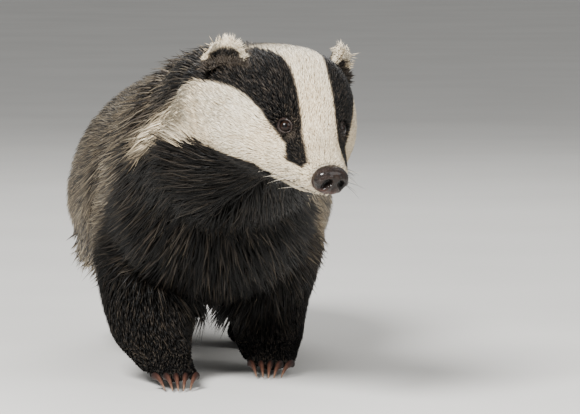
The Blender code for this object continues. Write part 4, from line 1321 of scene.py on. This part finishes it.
def nosePad():
    # A superellipsoid round the forward axis: out(s) = (1 - |s|^2.6)^(1/2.6), squared a little in
    # section, narrowed below, with a furrow in front and two comma-shaped nostrils pressed in.
    rings, sides = 120, 160
    share = np.sin(np.linspace(-math.pi / 2, math.pi / 2, rings)) * 0.998
    angle = np.linspace(0, 2 * math.pi, sides, endpoint=False)
    out = (1 - np.abs(share) ** nose["power"]) ** (1 / nose["power"])
    halfX, halfY, halfZ = nose["half"]
    furrowDepth, furrowHalf = nose["furrow"]
    x = halfX * share[:, None] + 0 * angle[None]
    y = halfY * out[:, None] * squarish(np.cos(angle))[None]
    y = y * (1 - 0.22 * np.clip(-np.sin(angle), 0, 1))[None]
    z = halfZ * out[:, None] * squarish(np.sin(angle))[None]
    front = np.clip(share, 0, 1)[:, None]
    furrow = np.exp(-((y / furrowHalf) ** 2)) * smoothstep(front, 0.0, 0.5) * smoothstep(-z, -5, 2)
    points = np.stack([x - furrowDepth * furrow, y, z], axis=-1).reshape(-1, 3)
    rimHeight, rimAway, rimHalf = nose["nostrilRim"]
    hollowAndShade = np.zeros(len(points))
    for hand in hands.values():
        away = nearLine(points, mirrored(nose["nostril"], hand))
        hollowAndShade = np.maximum(hollowAndShade, np.exp(-((away / nose["nostrilHalf"]) ** 4)))
        rim = np.exp(-(((away - rimAway) / rimHalf) ** 2)) * (points[:, 0] > 0)
        points = points + unit(points) * (rimHeight * rim)[:, None]
    press = hollowAndShade * (1 - 0.9 * smoothstep(np.abs(points[:, 1]), 7.5, 11.0))
    back = np.array((0.75, 0, 0)) * (nose["nostrilDepth"] * press)[:, None]
    points = points - back - unit(points) * (1.2 * press)[:, None]
    made = tube("nosePad", headToBody(points + nose["place"]).reshape(rings, sides, 3))
    # The nostrils' mask is also read by the nose's material, which paints shade into them.
    attribute(made.data, "hollowAndShade", hollowAndShade)
    attribute(made.data, "low", smoothstep(-points[:, 2], 1.0, 8.0))
    return made


def clawHorn(name, tip, way, length):
    # A horn along path(s) = start + way * run s - down * drop s^2.2 + up * arch s (1 - s), flattened
    # at its sides and tapering as 1 - 0.82 s^1.6.
    upward = np.array((0, 0, 1.0))
    start = tip - way * toes["clawRoot"] + 1.5 * upward
    aside = unit(np.cross(way, upward))
    share = np.linspace(0, 1, 26)[:, None]
    run = (length + toes["clawRoot"]) * share
    drop = (start[2] - 1.7) * share**2.2
    middle = start + way * run + upward * (3.4 * share * (1 - share) - drop)
    sides = 24
    angle = np.linspace(0, 2 * math.pi, sides, endpoint=False)
    radius = toes["clawRadius"] * (1 - 0.82 * share**1.6)
    keel = 1.12 + 0.10 * np.sin(angle)
    rings = (
        middle[:, None]
        + aside * (radius * 0.86 * np.cos(angle)[None])[..., None]
        + upward * (radius * keel * np.sin(angle)[None])[..., None]
    )
    rings[..., 2] = np.maximum(rings[..., 2], 0.4)
    made = tube(name, rings)
    attribute(made.data, "along", np.repeat(share[:, 0], sides))
    return made


def clawPieces():
    # A claw on each toe, the outer ones a little shorter, with the CAD node that it stands for.
    made = []
    for leg, paw in paws.items():
        for number, (_, _, tip, way) in enumerate(toeLines(leg)):
            length = paw["claw"] * (0.86 + 0.14 * toePlace(number)[1])
            name = f"claw{leg[0].upper()}{leg[1:]}{number + 1}"
            made.append((clawHorn(name, tip, way, length), f"claw_{paw['cadName']}_{number + 1}"))
    return made


whiskers = {
    "count": 15,
    "length": (14, 27),
    "root": 0.22,  # radius
    "back": (12, 30),  # behind the nose tip
    "drop": (-13, -3),  # and under it
    "bend": (-0.22, 0, -0.25),
    # half width of the muzzle against the distance behind the nose tip
    "muzzle": ((4, 13), (14, 18), (28, 25), (42, 34)),
    "tones": (0.04, 0.12, 0.85),
    "seed": 8,
}


def whiskerPiece(side):
    # Thin cones, bent back and down: p(s) = root + way * L s + bend * L s^2.
    hand = hands[side]
    draw = np.random.default_rng(whiskers["seed"] + hand)
    count, rings, sides = whiskers["count"], 8, 5
    back = draw.uniform(*whiskers["back"], count)
    drop = draw.uniform(*whiskers["drop"], count)
    half = np.interp(back, *zip(*whiskers["muzzle"])) + 0.6
    half = half * np.sqrt(np.clip(1 - ((drop + 4) / 20) ** 2, 0.3, 1))
    root = np.stack([-back, hand * half, drop], axis=1)
    ahead = draw.uniform(-0.5, 0.5, count)
    rise = draw.uniform(-0.45, 0.05, count)
    way = unit(np.stack([ahead, hand * np.ones(count), rise], axis=1))
    length = draw.uniform(*whiskers["length"], count)[:, None]
    share = np.linspace(0, 1, rings)
    path = root[:, None] + (length * share)[..., None] * way[:, None]
    path = path + (length * share**2)[..., None] * np.array(whiskers["bend"])
    along = unit(np.gradient(path, axis=1))
    aside = unit(np.cross(along, (0, 0, 1)))
    radius = whiskers["root"] * (1 - 0.92 * share)
    grid = ringsRound(path, aside, np.cross(aside, along), radius, radius, sides)
    points = placedPoints(headToBody(grid.reshape(-1, 3)))
    step = rings * sides
    one = facingOut(points[:step], tubeFaces(rings, sides))
    starts = np.arange(count)[:, None, None] * step
    faces = [(starts + block[None]).reshape(-1, block.shape[1]) for block in one]
    made = meshObject(f"whiskers{side}", points, faces)
    attribute(made.data, "tone", np.repeat(draw.choice(whiskers["tones"], count), step))
    return made


def lipPiece():
    # A flat bead along the mouth from one corner round under the nose to the other, tapering as
    # sqrt(1 - |2 s - 1|^8).
    line = np.array(head["mouth"], float)
    chain = np.concatenate([line[::-1] * (1, -1, 1), line[1:]])
    along = alongLine(chain)
    at = np.linspace(0, along[-1], 90)
    path = through(along, chain, at)
    middle = np.stack([path[:, 0] - 4, 0 * at, np.full(len(at), -6.0)], axis=1)
    out = unit(path - middle)
    path = path + out * 1.1
    aside = unit(np.cross(unit(np.gradient(path, axis=0)), out))
    taper = np.sqrt(np.clip(1 - (2 * at / at[-1] - 1) ** 8, 0.02, 1))
    return tube("lips", headToBody(ringsRound(path, out, aside, 1.5 * taper, 0.9 * taper, 12)))


def linear(code):
    # sRGB hex to linear light: v / 12.92 up to 0.04045, ((v + 0.055) / 1.055)^2.4 above.
    values = [int(code[k : k + 2], 16) / 255 for k in (1, 3, 5)]
    return (*[v / 12.92 if v <= 0.04045 else ((v + 0.055) / 1.055) ** 2.4 for v in values], 1.0)


def node(material, kind, inputs=None, **settings):
    # Adds a node, sets its properties and fills its inputs with values or with other nodes' outputs.
    made = material.node_tree.nodes.new(kind)
    for key, value in settings.items():
        setattr(made, key, value)
    for key, value in (inputs or {}).items():
        if isinstance(value, bpy.types.NodeSocket):
            material.node_tree.links.new(value, made.inputs[key])
        else:
            made.inputs[key].default_value = value
    return made


def link(material, output, target):
    # Joins one node's output to another's input.
    material.node_tree.links.new(output, target)


def newMaterial(name, shader):
    # A Principled shader with its constants set on its own sockets.
    material = bpy.data.materials.new(name)
    material.use_nodes = True
    material.node_tree.nodes.clear()
    principled = node(material, "ShaderNodeBsdfPrincipled", shader)
    output = node(material, "ShaderNodeOutputMaterial")
    link(material, principled.outputs["BSDF"], output.inputs["Surface"])
    return material, principled


def ramp(material, factor, stops):
    # A colour for each factor, from stops of place and sRGB hex.
    made = node(material, "ShaderNodeValToRGB", {"Fac": factor})
    elements = made.color_ramp.elements
    while len(elements) < len(stops):
        elements.new(0.5)
    for element, (place, code) in zip(elements, stops):
        element.position = place
        element.color = linear(code)
    return made.outputs["Color"]


def readAttribute(material, name):
    # The number that the piece carries at each point under that name.
    return node(material, "ShaderNodeAttribute", attribute_name=name).outputs["Fac"]


def objectPlace(material):
    # Object coordinates, which are metres of the scene.
    return node(material, "ShaderNodeTexCoord").outputs["Object"]


def perMetre(size):
    # A pattern's scale from the size of its features in mm: 1 / (0.001 size).
    return 1 / (size * mm)


def grain(material, size, detail, **inputs):
    # Noise with features of that many mm.
    inputs = {"Vector": objectPlace(material), "Scale": perMetre(size), "Detail": detail, **inputs}
    return node(material, "ShaderNodeTexNoise", inputs).outputs["Fac"]


def dented(material, principled, height, strength, depth):
    # A bump of the height, that many mm deep.
    bump = node(material, "ShaderNodeBump", {"Height": height, "Strength": strength, "Distance": depth * mm})
    link(material, bump.outputs["Normal"], principled.inputs["Normal"])
    return bump


def mixed(material, factor, first, second, way="MULTIPLY"):
    # Two colours, multiplied or with MIX blended, as far as the factor says.
    made = node(material, "ShaderNodeMix", data_type="RGBA", blend_type=way)
    for socket, value in ((made.inputs[0], factor), (made.inputs[6], first), (made.inputs[7], second)):
        if isinstance(value, bpy.types.NodeSocket):
            link(material, value, socket)
        else:
            socket.default_value = value
    return made.outputs[2]


hairStops = (
    (0.0, "#060606"), (0.12, "#141211"), (0.35, "#443f3b"),
    (0.62, "#989082"), (0.85, "#ded4c0"), (1.0, "#fef7e6"),
)


def hairMaterial():
    # Badger hair: keratin, banded black, grey and cream, matt with a soft gloss along it. A hair is
    # 0.1 mm thick, and its streaks are drawn 1.1 mm wide, as coarse as the render can show.
    material, principled = newMaterial(
        "badgerHair", {"Roughness": 0.5, "IOR": 1.55, "Specular IOR Level": 0.16}
    )
    colour = ramp(material, readAttribute(material, "tone"), hairStops)
    strandStops = ((0.0, "#cfc6bb"), (0.4, "#f2efe9"), (1.0, "#ffffff"))
    strand = ramp(material, readAttribute(material, "strand"), strandStops)
    streak = ramp(material, grain(material, 1.11, 2.0), ((0.3, "#dcd8d2"), (0.7, "#ffffff")))
    cast = ramp(material, grain(material, 71.4, 3.0), ((0.35, "#fff4e2"), (0.65, "#fdfaf5")))
    colour = mixed(material, 1.0, colour, strand)
    colour = mixed(material, 0.6, colour, streak)
    colour = mixed(material, 0.8, colour, cast)
    link(material, colour, principled.inputs["Base Color"])
    return material


def skinMaterial():
    # Under-fur and hide: the coat's colours, darker as painted shade between the hairs, with a felt of short
    # hair as bump.
    # The felt is drawn 1.4 mm wide, coarser than its hairs, which are too fine to show.
    material, principled = newMaterial(
        "underFur", {"Roughness": 0.85, "IOR": 1.45, "Specular IOR Level": 0.15}
    )
    colour = ramp(material, readAttribute(material, "tone"), hairStops)
    felt = grain(material, 1.43, 4.0, Roughness=0.7)
    # The felt's ramp varies the colour and also darkens it overall, as painted shade between the hairs.
    colour = mixed(material, 1.0, colour, ramp(material, felt, ((0.3, "#8d8780"), (0.7, "#e4dfd8"))))
    colour = mixed(material, readAttribute(material, "bare"), colour, linear("#2b211e"), "MIX")
    link(material, colour, principled.inputs["Base Color"])
    dented(material, principled, felt, 0.5, 0.6)
    return material


def noseMaterial():
    # Nose leather: moist, dark brown and pebbled, redder below, with painted shade near black in the
    # nostrils. The pebbles are
    # 0.5 mm wide in life and are drawn 1.2 mm wide, so that they show.
    material, principled = newMaterial(
        "noseLeather",
        {
            "Roughness": 0.5,
            "IOR": 1.4,
            "Specular IOR Level": 0.25,
            "Coat Weight": 0.4,
            "Coat Roughness": 0.09,
        },
    )
    cells = {"Vector": objectPlace(material), "Scale": perMetre(1.18)}
    pebble = node(material, "ShaderNodeTexVoronoi", cells, feature="SMOOTH_F1")
    mottle = grain(material, 4.55, 3.0)
    top = ramp(material, mottle, ((0.3, "#100a08"), (0.7, "#261912")))
    low = ramp(material, mottle, ((0.3, "#26140e"), (0.7, "#4a2b1f")))
    colour = mixed(material, readAttribute(material, "low"), top, low, "MIX")
    # Painted shade: the nostrils' hollows are coloured near black.
    colour = mixed(material, readAttribute(material, "hollowAndShade"), colour, linear("#050404"), "MIX")
    link(material, colour, principled.inputs["Base Color"])
    dented(material, principled, pebble.outputs["Distance"], 0.9, 0.8).invert = True
    return material


def eyeMaterial():
    # Wet eye: black pupil, very dark brown iris, under a clear tear film.
    material, principled = newMaterial(
        "wetEye",
        {
            "Roughness": 0.3,
            "IOR": 1.35,
            "Specular IOR Level": 0.15,
            "Coat Weight": 0.7,
            "Coat Roughness": 0.03,
            "Coat IOR": 1.3,
        },
    )
    stops = (
        (0.0, "#040303"), (0.30, "#040303"), (0.36, "#20120a"),
        (0.62, "#150c07"), (0.75, "#070505"), (1.0, "#0a0706"),
    )
    link(material, ramp(material, readAttribute(material, "gaze"), stops), principled.inputs["Base Color"])
    return material


def rimMaterial():
    # Lids' edges and lips: bare dark skin, damp, with folds 1.7 mm wide.
    material, principled = newMaterial(
        "dampSkin", {"Roughness": 0.38, "IOR": 1.42, "Coat Weight": 0.15, "Coat Roughness": 0.25}
    )
    fold = grain(material, 1.67, 3.0)
    colour = ramp(material, fold, ((0.3, "#15100e"), (0.7, "#33261f")))
    link(material, colour, principled.inputs["Base Color"])
    dented(material, principled, fold, 0.4, 0.3)
    return material


def clawMaterial():
    # Claw horn: keratin, red-brown at the root and paler towards the worn tip. Its streaks are 0.3 mm
    # wide in life and are drawn 2 mm wide, so that they show.
    material, principled = newMaterial("clawHorn", {"Roughness": 0.55, "IOR": 1.5, "Specular IOR Level": 0.2})
    lengthwise = ((0.0, "#1a0f0b"), (0.35, "#36201a"), (0.8, "#5c3f32"), (1.0, "#8a6d56"))
    colour = ramp(material, readAttribute(material, "along"), lengthwise)
    fine = grain(material, 2.0, 4.0)
    colour = mixed(material, 0.8, colour, ramp(material, fine, ((0.3, "#a8988c"), (0.7, "#ffffff"))))
    link(material, colour, principled.inputs["Base Color"])
    dented(material, principled, fine, 0.3, 0.2)
    return material


def whiskerMaterial():
    # Whiskers: smooth stiff hair, black or white.
    material, principled = newMaterial("whiskerHair", {"Roughness": 0.4, "IOR": 1.55})
    colour = ramp(material, readAttribute(material, "tone"), hairStops)
    link(material, colour, principled.inputs["Base Color"])
    return material


def floorMaterial():
    # Matt painted studio floor, with clouds 333 mm wide.
    material, principled = newMaterial("paleFloor", {"Roughness": 0.9, "IOR": 1.45})
    colour = ramp(material, grain(material, 333.0, 3.0), ((0.3, "#cfcdc8"), (0.7, "#d6d4cf")))
    link(material, colour, principled.inputs["Base Color"])
    return material


cadNodes = ["head", "neck", "torso", "tail", "ear_left", "ear_right"]
cadNodes += [f"{kind}_{paw['cadName']}" for paw in paws.values() for kind in ("leg", "paw")]


def dressed(piece, material, slot, *nodes):
    # Gives a piece its material and body, and hides the CAD nodes that it stands for. The slot is not used.
    piece.data.materials.clear()
    piece.data.materials.append(material)
    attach(piece, "root")
    if nodes:
        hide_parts(*nodes)


skin = skinObject()
skinPlaces = unplaced(pointsOf(skin))
tone, grizzle = coatTone(skinPlaces)
attribute(skin.data, "tone", np.clip(tone - 0.1 * grizzle, 0, 1))
# Bare skin takes the colour of hide, except the soles.
bare = 1 - bareSpots(skinPlaces, normalsOf(skin)[1])
attribute(skin.data, "bare", bare * (skinPlaces[:, 2] > 20))
dressed(skin, skinMaterial(), "grey_coat", *cadNodes)
hair = hairMaterial()
for piece, slot in furPieces(skin, hair):
    dressed(piece, hair, slot)
print("fur done")

damp = rimMaterial()
wet = eyeMaterial()
stiff = whiskerMaterial()
for side in hands:
    dressed(eyeBall(side), wet, "eye_ball", f"eye_{side.lower()}")
    dressed(lidRim(side), damp, "nose_skin")
    dressed(whiskerPiece(side), stiff, "black_coat")
dressed(nosePad(), noseMaterial(), "nose_skin", "nose")
dressed(lipPiece(), damp, "nose_skin")
horn = clawMaterial()
for piece, cadName in clawPieces():
    dressed(piece, horn, "claw_horn", cadName)
print("details done")


studio = {
    "elevation": 4.0,
    "distance": 3.7,
    "lens": 293.96,
    # the frame's middle is this far left of the nose and under it, in metres
    "noseAside": 40 / 1280,
    "noseAbove": 27 / 1280,
    "sky": "#e4e5e6",
    "skyStrength": 0.50,
    # place, aim, size, watts
    "lights": (
        ((-1.0, -2.2, 2.1), (0, -0.1, 0.17), 1.2, 245),
        ((2.0, -1.4, 1.5), (0, 0, 0.15), 1.8, 30),
        ((0.2, 2.0, 2.2), (0, 0, 0.2), 1.6, 40),
    ),
    "floorRadii": (0.02, 0.5, 1, 2, 4, 8, 16, 30),
}


def studioFloor():
    # A flat round sheet of rings (r cos t, r sin t, 0), with a disc in the middle.
    radius = np.array(studio["floorRadii"])[:, None]
    sides = 96
    turn = np.linspace(0, 2 * math.pi, sides, endpoint=False)[None]
    points = np.stack([radius * np.cos(turn), radius * np.sin(turn), 0 * radius * turn], axis=-1)
    faces = [gridFaces(len(radius), sides)[:, ::-1], np.arange(sides)[None]]
    made = meshObject("studioFloor", points.reshape(-1, 3), faces)
    made.data.materials.append(floorMaterial())


def aimed(made, place, aim):
    # Puts a lamp or camera in its place and turns its -Z at the aim.
    made.location = place
    made.rotation_euler = (Vector(aim) - Vector(place)).to_track_quat("-Z", "Y").to_euler()
    bpy.context.scene.collection.objects.link(made)


def studioSet():
    # Floor, lamps, even sky, and a camera whose frame is laid from the nose's place in the photo.
    studioFloor()
    for number, (place, aim, size, power) in enumerate(studio["lights"]):
        lamp = bpy.data.lights.new(f"softLight{number + 1}", "AREA")
        lamp.shape = "DISK"
        lamp.size = size
        lamp.energy = power
        aimed(bpy.data.objects.new(lamp.name, lamp), place, aim)
    world = bpy.data.worlds.new("paleStudio")
    world.use_nodes = True
    backdrop = world.node_tree.nodes["Background"]
    backdrop.inputs["Color"].default_value = linear(studio["sky"])
    backdrop.inputs["Strength"].default_value = studio["skyStrength"]
    bpy.context.scene.world = world
    tilt = math.radians(studio["elevation"])
    noseCentre = placedPoints(headToBody(nose["place"]))
    upward = np.array((0, math.sin(tilt), math.cos(tilt)))
    aim = noseCentre - np.array((1, 0, 0)) * studio["noseAside"] - upward * studio["noseAbove"]
    place = aim + studio["distance"] * np.array((0, -math.cos(tilt), math.sin(tilt)))
    camera = bpy.data.cameras.new("photoCamera")
    camera.lens = studio["lens"]
    camera.sensor_width = 36
    camera.clip_end = 100
    made = bpy.data.objects.new("photoCamera", camera)
    aimed(made, place, aim)
    bpy.context.scene.camera = made


studioSet()
